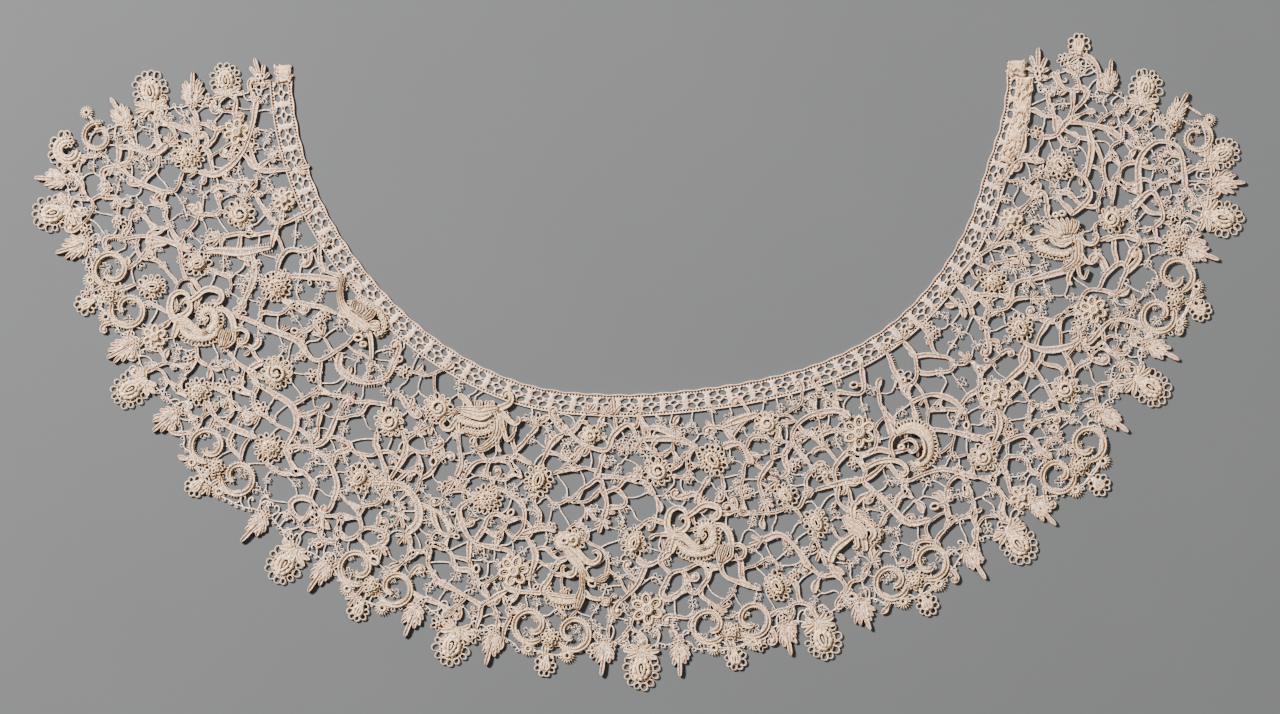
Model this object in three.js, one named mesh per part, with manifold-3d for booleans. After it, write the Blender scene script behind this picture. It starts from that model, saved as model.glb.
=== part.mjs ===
// A Venetian raised needle lace collar, laid out flat with its neck opening towards +Y.
// Millimetres, +Z up. Every place is given as a turn (degrees round the neck centre, 0 at the
// right end, 90 at the centre back, 180 at the left end) and a reach (distance from that centre).
// The cloth lies on z = 0. The open network of stems and brides is one wall here.

import * as THREE from 'three';
import { mergeVertices } from 'three/addons/utils/BufferGeometryUtils.js';
import Module from 'manifold-3d';

const wasm = await Module();
wasm.setup();

// Driving sizes

const NECK_CENTRE = new THREE.Vector2(8.985, 173.793);
const SEAM_GAP = 0.3; // left open between pieces that are sewn together
const GROUND_THICK = 1.4;
const BAND_THICK = 1.0;
const HEM_THICK = 2.2; // the band's end is turned twice
const HEM_DRAWN_IN = 3.4; // how much narrower the gathered end is than the band
const EDGE_THICK = 1.2; // flat rim of a palmette, leaf or floret
const EDGE_CROWN = 1.4; // how far its raised heart stands above that rim
const ROSETTE_HEIGHT = 3.6; // top of a rosette above the table
const RAISED_HEIGHT = 2.8; // top of a padded fan or scroll above the ground it lies on
const BAND_ENDS = { right: 2.4, left: 176.9 }; // turns where the band meets its hems
const HEM_ENDS = { right: 0.05, left: 179.4 };
const BAND_STEPS = 60;
const STALK_HALF = 1.6; // half the width of the stalk that joins a motif to the rim

// The neck edge and the width of the band sewn to it, which widens at the right end

const NECK_LINE = [
  // turn, radius of the neck edge, width of the band
  { turn: 0, radius: 204.7, band: 14.0 },
  { turn: 9, radius: 203.8, band: 15.4 },
  { turn: 17, radius: 201.8, band: 13.6 },
  { turn: 28, radius: 204.4, band: 12.8 },
  { turn: 50, radius: 203.8, band: 12.8 },
  { turn: 60, radius: 199.6, band: 12.8 },
  { turn: 72, radius: 193.8, band: 12.8 },
  { turn: 84, radius: 191.4, band: 12.8 },
  { turn: 98, radius: 194.8, band: 12.8 },
  { turn: 112, radius: 201.4, band: 12.8 },
  { turn: 126, radius: 204.4, band: 12.8 },
  { turn: 142, radius: 206.6, band: 12.8 },
  { turn: 160, radius: 210.0, band: 12.8 },
  { turn: 180, radius: 211.1, band: 12.8 },
];

// The outer edge: a palmette between two leaves, then a lobe of two facing scrolls crowned by a
// floret, over and over. leafBefore and leafAfter are turns; the first and the last palmette have
// one leaf here and one among the end motifs below.

const SPRAYS = [
  { turn: 15.4, rim: 329.4, leafAfter: 19.3 },
  { turn: 33.3, rim: 331.8, leafBefore: 29.7, leafAfter: 38.0 },
  { turn: 53.0, rim: 338.1, leafBefore: 49.2, leafAfter: 57.4 },
  { turn: 73.8, rim: 336.4, leafBefore: 69.3, leafAfter: 77.0 },
  { turn: 91.3, rim: 339.9, leafBefore: 87.6, leafAfter: 94.9 },
  { turn: 109.2, rim: 346.3, leafBefore: 105.7, leafAfter: 113.6 },
  { turn: 126.4, rim: 349.7, leafBefore: 123.2, leafAfter: 130.7 },
  { turn: 148.0, rim: 346.3, leafBefore: 143.8, leafAfter: 151.6 },
  { turn: 165.9, rim: 348.0, leafBefore: 162.3 },
];
const LOBE_CROWNS = [340.5, 348.6, 345.1, 342.2, 348.6, 354.4, 355.5, 351.5]; // reach, one between each two sprays
const LOBE_STEPS = 8;
const LOBE_MARGIN = 1.0; // degrees of straight rim between a leaf and the lobe's shoulder
const LOBE_FULLNESS = 0.8; // below 1 the lobe's shoulders are squarer than an arch
const LEAF_INSET = 3.6; // a leaf's root lies this far inside the line of the palmettes' roots

// The slanting ends of the collar: motifs and bare points of the edge, in order of turn round it.
// heading is the way a motif points, in degrees from +X; size is against the main edge's motifs.

const RIGHT_END = [
  { turn: 2.85, reach: 219.7 },
  { turn: 2.9, reach: 222.6, motif: 'leaf', heading: 90, size: 0.9 },
  { turn: 2.0, reach: 233.4 },
  { turn: -0.7, reach: 245.9, motif: 'floret', heading: 90, size: 1 },
  { turn: 1.6, reach: 256.5 },
  { turn: 3.5, reach: 263.8, motif: 'leaf', heading: 86, size: 0.85 },
  { turn: 5.3, reach: 283.7, motif: 'palmette', heading: 80, size: 0.92 },
  { turn: 6.4, reach: 301.7, motif: 'leaf', heading: 62, size: 0.9 },
  { turn: 6.9, reach: 321.0 },
  { turn: 10.1, reach: 324.6, motif: 'palmette', heading: 21, size: 0.84 },
  { turn: 12.3, reach: 330.0, motif: 'leaf', heading: 3, size: 1 },
];
const LEFT_END = [
  { turn: 168.6, reach: 347.3, motif: 'leaf', heading: 175, size: 1 },
  { turn: 170.2, reach: 335.4, motif: 'palmette', heading: 150, size: 0.95 },
  { turn: 172.9, reach: 328.6 },
  { turn: 173.1, reach: 308.0, motif: 'leaf', heading: 120, size: 0.95 },
  { turn: 174.3, reach: 292.6, motif: 'palmette', heading: 97, size: 1 },
  { turn: 174.8, reach: 269.1, motif: 'leaf', heading: 92, size: 0.95 },
  { turn: 175.2, reach: 248.5, motif: 'palmette', heading: 97, size: 0.85 },
  { turn: 176.3, reach: 227.4, motif: 'leaf', heading: 107, size: 0.82 },
  { turn: 176.5, reach: 224.5 },
];

// Raised rosettes joined into the ground wall

const ROSETTES = [
  // turn, reach, radius
  [9.2, 299.0, 8.5], [14.3, 242.4, 9.5], [19.0, 279.7, 8.5], [23.9, 230.7, 7.0], [50.3, 297.8, 8.5],
  [61.1, 245.1, 9.5], [70.7, 283.2, 9.0], [73.2, 262.4, 8.0], [76.9, 312.0, 9.5], [81.8, 233.2, 10.0],
  [89.6, 237.2, 9.0], [90.8, 317.3, 9.5], [92.5, 279.2, 9.0], [99.7, 281.3, 7.5], [105.6, 251.8, 10.0],
  [105.5, 306.3, 9.0], [111.0, 271.5, 9.0], [122.1, 236.7, 9.0], [125.4, 296.1, 9.0], [126.5, 259.1, 9.5],
  [135.0, 316.6, 9.0], [140.6, 283.9, 10.0], [144.2, 326.6, 9.5], [149.3, 255.6, 9.0], [156.2, 289.8, 8.5],
  [155.9, 319.1, 9.0], [159.9, 256.3, 9.0], [168.7, 275.6, 10.0],
];

// Large padded motifs that lie on the ground

const RAISED_MOTIFS = [
  { kind: 'fan', turn: 23.8, reach: 263.0, heading: 130, size: 1.1 },
  { kind: 'scroll', turn: 57.2, reach: 264.5, heading: 250, size: 0.8 },
  { kind: 'fan', turn: 66.1, reach: 297.7, heading: 140, size: 0.8 },
  { kind: 'scroll', turn: 84.6, reach: 277.6, heading: 205, size: 1.05 },
  { kind: 'fan', turn: 96.6, reach: 304.1, heading: 60, size: 0.8 },
  { kind: 'fan', turn: 114.4, reach: 234.3, heading: 205, size: 1.0 },
  { kind: 'fan', turn: 140.2, reach: 232.0, heading: 48, size: 0.85 },
  { kind: 'scroll', turn: 150.0, reach: 302.8, heading: 110, size: 1.25 },
];

const COLOURS = {
  ground: 0xc9b9ab, band: 0xd8cec4, edge: 0xdccbb9, raised: 0xe6d3bd, hem: 0xd9cdbf,
};
const LINEN = Object.fromEntries(Object.entries(COLOURS).map(([name, color]) => [
  name, () => new THREE.MeshStandardMaterial({ color, roughness: 0.88, metalness: 0 }),
]));

// Shared shapes

const radians = THREE.MathUtils.degToRad;

function place(turn, reach) {
  const angle = radians(turn);
  return new THREE.Vector2(
    NECK_CENTRE.x + reach * Math.cos(angle),
    NECK_CENTRE.y - reach * Math.sin(angle),
  );
}

function column(rows, key) {
  const curve = new THREE.CubicInterpolant(
    Float32Array.from(rows, (row) => row.turn), Float32Array.from(rows, (row) => row[key]), 1,
  );
  return (turn) => curve.evaluate(turn)[0];
}

const neckRadius = column(NECK_LINE, 'radius');
const bandWidth = column(NECK_LINE, 'band');

// A run of points along the neck: offset(turn) is added to the neck edge's radius

function neckRun(from, to, steps, offset) {
  return Array.from({ length: steps + 1 }, (_, i) => {
    const turn = THREE.MathUtils.lerp(from, to, i / steps);
    return place(turn, neckRadius(turn) + offset(turn));
  });
}

// A flat wall of even thickness over a plan outline

function wall(outline, thick) {
  return new THREE.ExtrudeGeometry(new THREE.Shape(outline), { depth: thick, bevelEnabled: false });
}

// A plate whose middle stands up: the outline at z = 0 and at the rim, then drawn in towards its
// heart step by step. levels hold { share of the outline, height }.

function crownedPlate(outline, heart, levels) {
  const count = outline.length;
  const rings = [{ share: 1, height: 0 }, ...levels];
  const points = rings.flatMap(({ share, height }) => outline.flatMap((p) => [
    heart.x + (p.x - heart.x) * share, heart.y + (p.y - heart.y) * share, height,
  ]));
  const top = rings.at(-1).height;
  points.push(heart.x, heart.y, 0, heart.x, heart.y, top);
  const under = rings.length * count;
  const faces = [];
  for (let i = 0; i < count; i += 1) {
    const next = (i + 1) % count;
    for (let ring = 0; ring + 1 < rings.length; ring += 1) {
      const low = ring * count;
      const high = low + count;
      faces.push(low + i, low + next, high + next, low + i, high + next, high + i);
    }
    const last = (rings.length - 1) * count;
    faces.push(last + i, last + next, under + 1, next, i, under);
  }
  const geometry = new THREE.BufferGeometry();
  geometry.setAttribute('position', new THREE.Float32BufferAttribute(points, 3));
  geometry.setIndex(faces);
  geometry.computeVertexNormals();
  return geometry;
}

// Motif outlines: x runs out from the root, y across; the root is at the origin

function mirrored(half, tip) {
  const points = half.map(([x, y]) => new THREE.Vector2(x, y));
  const below = points.map((p) => new THREE.Vector2(p.x, -p.y));
  return [...below, new THREE.Vector2(tip, 0), ...points.reverse()];
}

function loopedDisc({ heart, long, wide, loops, depth, sepal }) {
  const opening = radians(28); // left free at the root side for the sepals and the stalk
  const steps = loops * 2;
  const ring = Array.from({ length: steps + 1 }, (_, i) => {
    const angle = THREE.MathUtils.lerp(opening - Math.PI, Math.PI - opening, i / steps);
    const swell = i % 2 ? 1 : 1 - depth;
    return new THREE.Vector2(heart + long * swell * Math.cos(angle), wide * swell * Math.sin(angle));
  });
  return [
    new THREE.Vector2(SEAM_GAP, -STALK_HALF), new THREE.Vector2(sepal.x, -sepal.y), ...ring,
    new THREE.Vector2(sepal.x, sepal.y), new THREE.Vector2(SEAM_GAP, STALK_HALF),
  ];
}

const MOTIFS = {
  palmette: {
    heart: 14,
    outline: loopedDisc({ heart: 14, long: 11, wide: 10.2, loops: 12, depth: 0.1, sepal: { x: 2.6, y: 4.6 } }),
    crown: 0.5,
  },
  leaf: {
    heart: 10,
    outline: mirrored(
      [[SEAM_GAP, STALK_HALF], [3.4, 1.8], [5.2, 6.2], [8.4, 3.6], [11.8, 6.8], [13.4, 3.4], [16.8, 4.4], [17.4, 2.2]],
      22,
    ),
    crown: 0.4,
  },
  floret: {
    heart: 7.4,
    outline: loopedDisc({ heart: 7.4, long: 6.6, wide: 6.4, loops: 7, depth: 0.22, sepal: { x: 1.6, y: 2.0 } }),
    crown: 0.5,
  },
};

const FAN = [
  // angle round the heart in degrees, distance: a spread of fingers in front, a curled tail behind
  [-150, 9], [-125, 13], [-100, 8], [-70, 14], [-55, 8.5], [-38, 15.5], [-24, 9], [-8, 16.5],
  [6, 9], [20, 15.5], [36, 8.5], [52, 13], [72, 7], [105, 9], [140, 12], [165, 20], [178, 17],
];
const SCROLL = { radius: 11, sweep: 300, steps: 12, half: 5.2 }; // centre line of the padded scroll

// Pieces

const collar = new THREE.Group();

function add(name, geometry, linen) {
  const mesh = new THREE.Mesh(geometry, linen());
  mesh.name = name;
  collar.add(mesh);
  return mesh;
}

// The rim of the ground from the right end round to the left, and the motifs rooted on it

function edgeRows() {
  const rows = [...RIGHT_END];
  const root = (turn, reach, motif) => rows.push({ turn, reach, motif, heading: -turn, size: 1 });
  SPRAYS.forEach((spray, i) => {
    const { turn, rim, leafBefore, leafAfter } = spray;
    if (leafBefore) root(leafBefore, rim - LEAF_INSET, 'leaf');
    root(turn, rim, 'palmette');
    if (leafAfter) root(leafAfter, rim - LEAF_INSET, 'leaf');
    const next = SPRAYS[i + 1];
    if (!next) return;
    for (let step = 1; step < LOBE_STEPS; step += 1) {
      const share = step / LOBE_STEPS;
      const base = THREE.MathUtils.lerp(rim, next.rim, share);
      const middle = (rim + next.rim) / 2;
      const reach = base + (LOBE_CROWNS[i] - middle) * Math.sin(Math.PI * share) ** LOBE_FULLNESS;
      const at = THREE.MathUtils.lerp(leafAfter + LOBE_MARGIN, next.leafBefore - LOBE_MARGIN, share);
      if (step === LOBE_STEPS / 2) root(at, reach, 'floret');
      else rows.push({ turn: at, reach });
    }
  });
  return [...rows, ...LEFT_END];
}

const EDGE = edgeRows();

// A motif's root is a short straight stretch of the rim, square to the way the motif points

function rim() {
  return EDGE.flatMap(({ turn, reach, motif, heading }) => {
    const root = place(turn, reach);
    if (!motif) return [root];
    const across = new THREE.Vector2(-Math.sin(radians(heading)), Math.cos(radians(heading)));
    const half = STALK_HALF + 1;
    return [-half, half].map((side) => root.clone().addScaledVector(across, -side));
  }).reverse();
}

function solidOf(geometry) {
  const bare = geometry.clone();
  bare.deleteAttribute('normal');
  bare.deleteAttribute('uv');
  const merged = mergeVertices(bare, 1e-4);
  return new wasm.Manifold(new wasm.Mesh({
    numProp: 3,
    vertProperties: new Float32Array(merged.attributes.position.array),
    triVerts: new Uint32Array(merged.index.array),
  }));
}

function geometryOf(solid) {
  const { vertProperties, triVerts } = solid.getMesh();
  const geometry = new THREE.BufferGeometry();
  geometry.setAttribute('position', new THREE.BufferAttribute(vertProperties, 3));
  geometry.setIndex(new THREE.BufferAttribute(triVerts, 1));
  geometry.computeVertexNormals();
  return geometry;
}

function rosette([turn, reach, radius]) {
  const sides = 8;
  const profile = [[0, 0.2], [radius * 0.94, 0.2], [radius, GROUND_THICK + 0.3],
    [radius * 0.72, ROSETTE_HEIGHT - 0.4], [radius * 0.3, ROSETTE_HEIGHT], [0, ROSETTE_HEIGHT - 0.6]];
  const dome = new THREE.LatheGeometry(profile.map(([x, y]) => new THREE.Vector2(x, y)), sides);
  const { x, y } = place(turn, reach);
  return dome.rotateX(Math.PI / 2).translate(x, y, 0);
}

function laceGround() {
  const first = EDGE[0].turn;
  const last = EDGE.at(-1).turn;
  const inner = neckRun(first, last, BAND_STEPS, (turn) => bandWidth(turn) + SEAM_GAP);
  const outline = [...inner, ...rim()].reverse();
  const solid = ROSETTES.reduce(
    (ground, row) => ground.add(solidOf(rosette(row))), solidOf(wall(outline, GROUND_THICK)),
  );
  add('lace_ground', geometryOf(solid), LINEN.ground);
}

function neckBand() {
  const { right, left } = BAND_ENDS;
  const inner = neckRun(right, left, BAND_STEPS, () => 0);
  const outer = neckRun(right, left, BAND_STEPS, bandWidth).reverse();
  add('neck_band', wall([...outer, ...inner].reverse(), BAND_THICK), LINEN.band);
}

function neckHem(side, from, to) {
  const inner = neckRun(from, to, 3, () => -0.8);
  const outer = neckRun(from, to, 3, (turn) => bandWidth(turn) - HEM_DRAWN_IN).reverse();
  add(`neck_hem_${side}`, wall([...outer, ...inner].reverse(), HEM_THICK), LINEN.hem);
}

function edgeMotifs() {
  const made = { palmette: 0, leaf: 0, floret: 0 };
  EDGE.filter((row) => row.motif).forEach(({ turn, reach, motif, heading, size }) => {
    made[motif] += 1;
    const { heart, outline, crown } = MOTIFS[motif];
    const sized = outline.map((p) => new THREE.Vector2(Math.max(p.x * size, SEAM_GAP), p.y * size));
    const levels = [{ share: 1, height: EDGE_THICK }, { share: crown, height: EDGE_THICK + EDGE_CROWN }];
    const plate = crownedPlate(sized, new THREE.Vector2(heart * size, 0), levels);
    const number = String(made[motif]).padStart(2, '0');
    const mesh = add(`edge_${motif}_${number}`, plate, LINEN.edge);
    const root = place(turn, reach);
    mesh.position.set(root.x, root.y, 0);
    mesh.rotation.z = radians(heading);
  });
}

function paddedFan(size) {
  const outline = FAN.map(([angle, far]) => new THREE.Vector2(
    far * size * Math.cos(radians(angle)), far * size * Math.sin(radians(angle)),
  ));
  return crownedPlate(outline, new THREE.Vector2(), [
    { share: 1, height: 0.9 }, { share: 0.55, height: RAISED_HEIGHT },
  ]);
}

// A comma: a low arched section carried round a spiral that closes in, thickest in the middle

function paddedScroll(size) {
  const { radius, sweep, steps, half } = SCROLL;
  const section = [[-1, 0], [-0.75, 0.75], [0, 1], [0.75, 0.75], [1, 0]];
  const points = [];
  const faces = [];
  const middle = (share) => {
    const angle = radians(sweep * share);
    const far = radius * size * (1 - 0.62 * share);
    return new THREE.Vector3(far * Math.cos(angle), far * Math.sin(angle), 0);
  };
  for (let i = 1; i < steps; i += 1) {
    const share = i / steps;
    const at = middle(share);
    const out = at.clone().normalize();
    const swell = Math.sin(Math.PI * share) ** 0.7 * (1 - 0.45 * share);
    section.forEach(([across, up]) => {
      const side = at.clone().addScaledVector(out, across * half * size * swell);
      points.push(side.x, side.y, up * RAISED_HEIGHT * (0.45 + 0.55 * swell));
    });
  }
  const wide = section.length;
  const rings = points.length / 3 / wide;
  for (let ring = 0; ring + 1 < rings; ring += 1) {
    for (let i = 0; i < wide; i += 1) {
      const here = ring * wide + i;
      const next = ring * wide + (i + 1) % wide;
      faces.push(here, next, next + wide, here, next + wide, here + wide);
    }
  }
  const end = (rings - 1) * wide;
  for (let i = 1; i + 1 < wide; i += 1) {
    faces.push(0, i + 1, i);
    faces.push(end, end + i, end + i + 1);
  }
  const geometry = new THREE.BufferGeometry();
  geometry.setAttribute('position', new THREE.Float32BufferAttribute(points, 3));
  geometry.setIndex(faces);
  geometry.computeVertexNormals();
  return geometry;
}

function raisedMotifs() {
  const shapes = { fan: paddedFan, scroll: paddedScroll };
  const made = { fan: 0, scroll: 0 };
  RAISED_MOTIFS.forEach(({ kind, turn, reach, heading, size }) => {
    made[kind] += 1;
    const mesh = add(`raised_${kind}_${made[kind]}`, shapes[kind](size), LINEN.raised);
    const at = place(turn, reach);
    mesh.position.set(at.x, at.y, GROUND_THICK + SEAM_GAP);
    mesh.rotation.z = radians(heading);
  });
}

laceGround();
neckBand();
neckHem('right', HEM_ENDS.right, BAND_ENDS.right - 0.09);
neckHem('left', BAND_ENDS.left + 0.09, HEM_ENDS.left);
edgeMotifs();
raisedMotifs();

export default collar;
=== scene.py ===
"""A Venetian raised needle lace collar laid out flat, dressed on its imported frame.

Shapes are worked out in millimetres on the plane of the table and turned to metres when a mesh is
made. turn is an angle round the neck centre in degrees, 0 at the right end, 90 at the centre back
and 180 at the left end. reach is the distance from that centre. A heading is in degrees from +X.
tone says how warm a strand's linen is, from 0 to 1; below zero the cloth is pricked all over.
"""

from collections import defaultdict

import bpy
import numpy as np
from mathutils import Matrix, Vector
from mathutils.geometry import delaunay_2d_cdt


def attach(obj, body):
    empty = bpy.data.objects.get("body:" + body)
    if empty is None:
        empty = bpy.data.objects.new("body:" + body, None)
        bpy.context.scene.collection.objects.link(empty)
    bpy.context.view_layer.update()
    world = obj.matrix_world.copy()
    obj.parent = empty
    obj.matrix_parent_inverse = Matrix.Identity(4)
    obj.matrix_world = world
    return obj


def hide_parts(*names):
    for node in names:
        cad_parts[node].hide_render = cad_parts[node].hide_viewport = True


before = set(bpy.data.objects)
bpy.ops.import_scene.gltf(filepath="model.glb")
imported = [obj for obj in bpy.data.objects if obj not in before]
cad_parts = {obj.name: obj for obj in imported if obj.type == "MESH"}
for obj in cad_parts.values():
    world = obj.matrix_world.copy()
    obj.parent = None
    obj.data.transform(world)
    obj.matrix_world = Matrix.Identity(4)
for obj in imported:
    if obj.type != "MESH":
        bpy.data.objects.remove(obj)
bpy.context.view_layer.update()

MM = 0.001
FULL_TURN = 2 * np.pi
NECK_CENTRE = np.array([8.985, 173.793])
RIGHT_TURN, LEFT_TURN = 2.4, 176.9  # where the neck band meets its turned ends
SEED = 1660


def unit(degrees):
    """The unit vector or vectors that point along a heading."""
    angle = np.radians(degrees)
    return np.stack([np.cos(angle), np.sin(angle)], -1)


def heading_of(way):
    """The heading of a vector, in degrees."""
    return np.degrees(np.arctan2(way[..., 1], way[..., 0]))


def leftward(ahead):
    """Vectors of ... x 2 turned a quarter turn to their left."""
    return np.stack([-ahead[..., 1], ahead[..., 0]], -1)


def turned_by(path, degrees):
    """Paths of ... x rows x 2 turned about the origin; degrees may hold one angle for each copy."""
    ahead = unit(degrees)[..., None, :]
    return path[..., :1] * ahead + path[..., 1:] * leftward(ahead)


def distances(points, others):
    """How far each of the points is from each of the others: ... x others."""
    return np.linalg.norm(points[..., None, :] - others, axis=-1)


# Camera and light --------------------------------------------------------------------------

PICTURE_WIDTH = 742.4  # mm of table across the picture
PICTURE_MIDDLE = (0.3, 2.7)  # mm
LENS, SENSOR = 100, 36  # mm
SKY = (0.9, 0.94, 1.0, 1)


def added(name, data):
    """A new object in the scene that holds the data."""
    made = bpy.data.objects.new(name, data)
    bpy.context.scene.collection.objects.link(made)
    return made


def camera():
    """Looks straight down, far enough away for a long lens to take in the whole collar."""
    data = bpy.data.cameras.new("camera")
    data.lens, data.sensor_width = LENS, SENSOR
    data.clip_end = 20
    eye = added("camera", data)
    eye.location = (PICTURE_MIDDLE[0] * MM, PICTURE_MIDDLE[1] * MM, PICTURE_WIDTH * MM * LENS / SENSOR)
    bpy.context.scene.camera = eye


def softbox(name, place, size, watts, colour):
    """A square area light that looks at the middle of the collar."""
    data = bpy.data.lights.new(name, "AREA")
    data.energy, data.size, data.color = watts, size, colour
    lamp = added(name, data)
    lamp.location = place
    lamp.rotation_euler = (-Vector(place)).to_track_quat("-Z", "Y").to_euler()


def studio():
    """Even light of one colour from all round."""
    world = bpy.data.worlds.new("studio")
    bpy.context.scene.world = world
    world.use_nodes = True
    sky = world.node_tree.nodes["Background"]
    sky.inputs["Color"].default_value = SKY
    sky.inputs["Strength"].default_value = 0.14


camera()
softbox("key", (-2.6, 2.0, 2.05), size=0.48, watts=900, colour=(1.0, 0.98, 0.95))
softbox("fill", (1.5, 0.2, 1.2), size=0.9, watts=14, colour=(0.97, 0.985, 1.0))
studio()


# Finishes ------------------------------------------------------------------------------------


class Value:
    """A node's output, which adds a Math node when it is used in arithmetic."""

    def __init__(self, finish, socket):
        self.finish, self.socket = finish, socket

    def math(self, operation, *others):
        """The result of a Math node on this value and the others."""
        inputs = dict(enumerate([self, *others]))
        return self.finish.node("ShaderNodeMath", {"operation": operation}, inputs)

    def out(self, output):
        """Another output of its node, by name or number."""
        return Value(self.finish, self.socket.node.outputs[output])

    def __add__(self, other):
        return self.math("ADD", other)

    def __sub__(self, other):
        return self.math("SUBTRACT", other)

    def __rsub__(self, other):
        return self * -1 + other

    def __mul__(self, other):
        return self.math("MULTIPLY", other)

    __radd__, __rmul__ = __add__, __mul__

    def sine(self):
        """Its sine, for an angle in radians."""
        return self.math("SINE")

    def size(self):
        """Its amount without its sign."""
        return self.math("ABSOLUTE")

    def within(self):
        """Held between 0 and 1."""
        return self.math("MINIMUM", 1.0).math("MAXIMUM", 0.0)


class Finish:
    """A material under construction on a Principled shader."""

    def __init__(self, name):
        self.material = bpy.data.materials.new(name)
        self.material.use_nodes = True
        self.tree = self.material.node_tree
        self.shader = self.tree.nodes["Principled BSDF"]

    def node(self, kind, settings, inputs):
        """Adds a node, sets its settings and then the values or links of its sockets. Returns its
        first output."""
        node = self.tree.nodes.new(kind)
        for name, setting in settings.items():
            setattr(node, name, setting)
        self.feed(node, inputs)
        return Value(self, node.outputs[0])

    def feed(self, node, inputs):
        """Links a value to each of a node's sockets, or sets the socket to a number or colour."""
        for name, given in inputs.items():
            if isinstance(given, Value):
                self.tree.links.new(given.socket, node.inputs[name])
            else:
                node.inputs[name].default_value = given

    def blend(self, share, first, second):
        """Mixes two colours: the first at a share of 0, the second at 1."""
        colours = [given if isinstance(given, Value) else (*given, 1) for given in (first, second)]
        inputs = dict(zip((0, 6, 7), (share, *colours)))
        return self.node("ShaderNodeMix", {"data_type": "RGBA"}, inputs).out(2)

    def place(self):
        """The place on the object, in metres."""
        return self.node("ShaderNodeTexCoord", {}, {}).out("Object")

    def parts(self, vector):
        """A vector taken apart: its values are read by the names X, Y and Z."""
        return self.node("ShaderNodeSeparateXYZ", {}, {0: vector})

    def chart(self):
        """The piece's own UV map, taken apart."""
        return self.parts(self.node("ShaderNodeUVMap", {}, {}).out("UV"))

    def noise(self, size, detail=2.0, rough=0.5):
        """Soft noise whose grains are about size mm across, fixed to the object."""
        inputs = {"Vector": self.place(), "Scale": 1 / (size * MM), "Detail": detail, "Roughness": rough}
        return self.node("ShaderNodeTexNoise", {}, inputs).out("Fac")

    def finish(self, colour, rough, bump, depth, sheen):
        """Feeds the shader; bump is a height from 0 to 1 that stands depth mm high."""
        relief = {"Height": bump, "Distance": depth * MM, "Strength": 1.0}
        self.feed(self.shader, {
            "Base Color": colour, "Roughness": rough, "Normal": self.node("ShaderNodeBump", {}, relief),
            "Sheen Weight": sheen, "Sheen Roughness": 0.5, "Specular IOR Level": 0.3,
        })
        return self.material


# The painted shade of a corded ribbon's groove is centred at GROOVE_AT; a padded ribbon's map stops short
# of it.
GROOVE_AT = 3.5 / 8  # place round a corded ribbon where its groove is deepest, as a share
UNGROOVED = 0.3  # the share round a padded ribbon that the map covers, short of the groove
PINHOLE_PITCH, PRICK_PITCH = 1.9, 2.4  # mm


def linen(name, light, deep, warm, pitch, depth, twist=0, groove=0.0):
    """Thread or stitched thread: ribs every pitch mm along the strand, slanting by twist turns of
    it, with painted shade between them; painted shade along the groove in the middle, darker at a
    row of pinholes, and on the flanks that face away from straight up, as strong as groove says;
    mottled by age, warmer where the tone is high. Where it is below zero the cloth is pricked all
    over."""
    made = Finish(name)
    along = made.chart()
    run, girth = along.out("X"), along.out("Y")
    ribs = (run * (FULL_TURN / pitch) + girth * (FULL_TURN * twist)).sine() * 0.5 + 0.5
    fibre = made.noise(0.35, 3.0, 0.7)
    aged, mottle = made.noise(22.0, 3.0, 0.6), made.noise(1.2, 2.0, 0.6)
    tone = made.node("ShaderNodeAttribute", {"attribute_name": "tone"}, {}).out("Fac")
    # Painted shade in the groove along a strand's middle, darker still at a row of pinholes.
    pinholes = ((run * (FULL_TURN / PINHOLE_PITCH)).sine() * 2.0 - 0.9).within()
    hollow = (1.7 - (girth - GROOVE_AT).size() * 15).within() * (pinholes * 0.45 + 0.62) * groove
    spaced = {"Vector": made.place(), "Scale": 1 / (PRICK_PITCH * MM)}
    dots = made.node("ShaderNodeTexVoronoi", {"voronoi_dimensions": "2D"}, spaced)
    pricks = (2.5 - dots.out("Distance") * 10).within() * (tone * -4).within()
    # Painted shade on the flanks: the less a face points straight up, the darker it is painted, the more so
    # the larger groove is.
    facing = made.parts(made.node("ShaderNodeNewGeometry", {}, {}).out("Normal"))
    painted_flank_shade = (1.2 - facing.out("Z") * 1.35).within() * (0.12 + groove * 0.7)
    worn = made.blend((tone + aged * 1.1 - 0.55).within(), light, warm)
    # (1 - ribs) is painted shade in the valleys between the stitch ribs; pricks, fibre and mottle are the
    # linen's own marks and tone.
    shades = (1 - ribs) * 0.3 + hollow + pricks * 0.9 + painted_flank_shade + fibre * 0.3 + mottle * 2.3 - 1.02
    shaded = made.blend((shades * 1.5 - 0.08).within(), worn, deep)
    return made.finish(shaded, fibre * 0.2 + 0.68, ribs * 0.7 + fibre * 0.3, depth, sheen=0.2)


def woven(name, light, deep, pitch):
    """Close plain weave: two crossed runs of threads every pitch mm, over a UV map in mm."""
    made = Finish(name)
    across = made.chart()
    warp, weft = ((across.out(axis) * (FULL_TURN / pitch)).sine() for axis in "XY")
    weave = warp * weft * 0.5 + 0.5
    grains = ((0.4, 3.0, 0.7), (16.0, 3.0, 0.6), (1.2, 2.0, 0.6))
    fibre, aged, mottle = (made.noise(*grain) for grain in grains)
    shades = weave * 0.3 + fibre * 0.2 + aged * 0.6 + mottle * 2.2 - 1.32
    shaded = made.blend(shades.within(), light, deep)
    return made.finish(shaded, fibre * 0.15 + 0.75, weave, depth=0.12, sheen=0.15)


def pale_board(name):
    """A plain pale grey board with a faint paper grain."""
    made = Finish(name)
    grain = made.noise(0.7, 4.0, 0.6)
    soft = made.noise(120.0, 2.0, 0.5)
    colour = made.blend((grain * 0.5 + soft * 0.5).within(), (0.066, 0.068, 0.071), (0.078, 0.080, 0.083))
    return made.finish(colour, grain * 0.1 + 0.82, grain, depth=0.05, sheen=0.0)


# groove sets how strong the painted shade in a strand's groove and on its flanks is; deep is the colour of
# that painted shade and of the darkest mottling.
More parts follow.
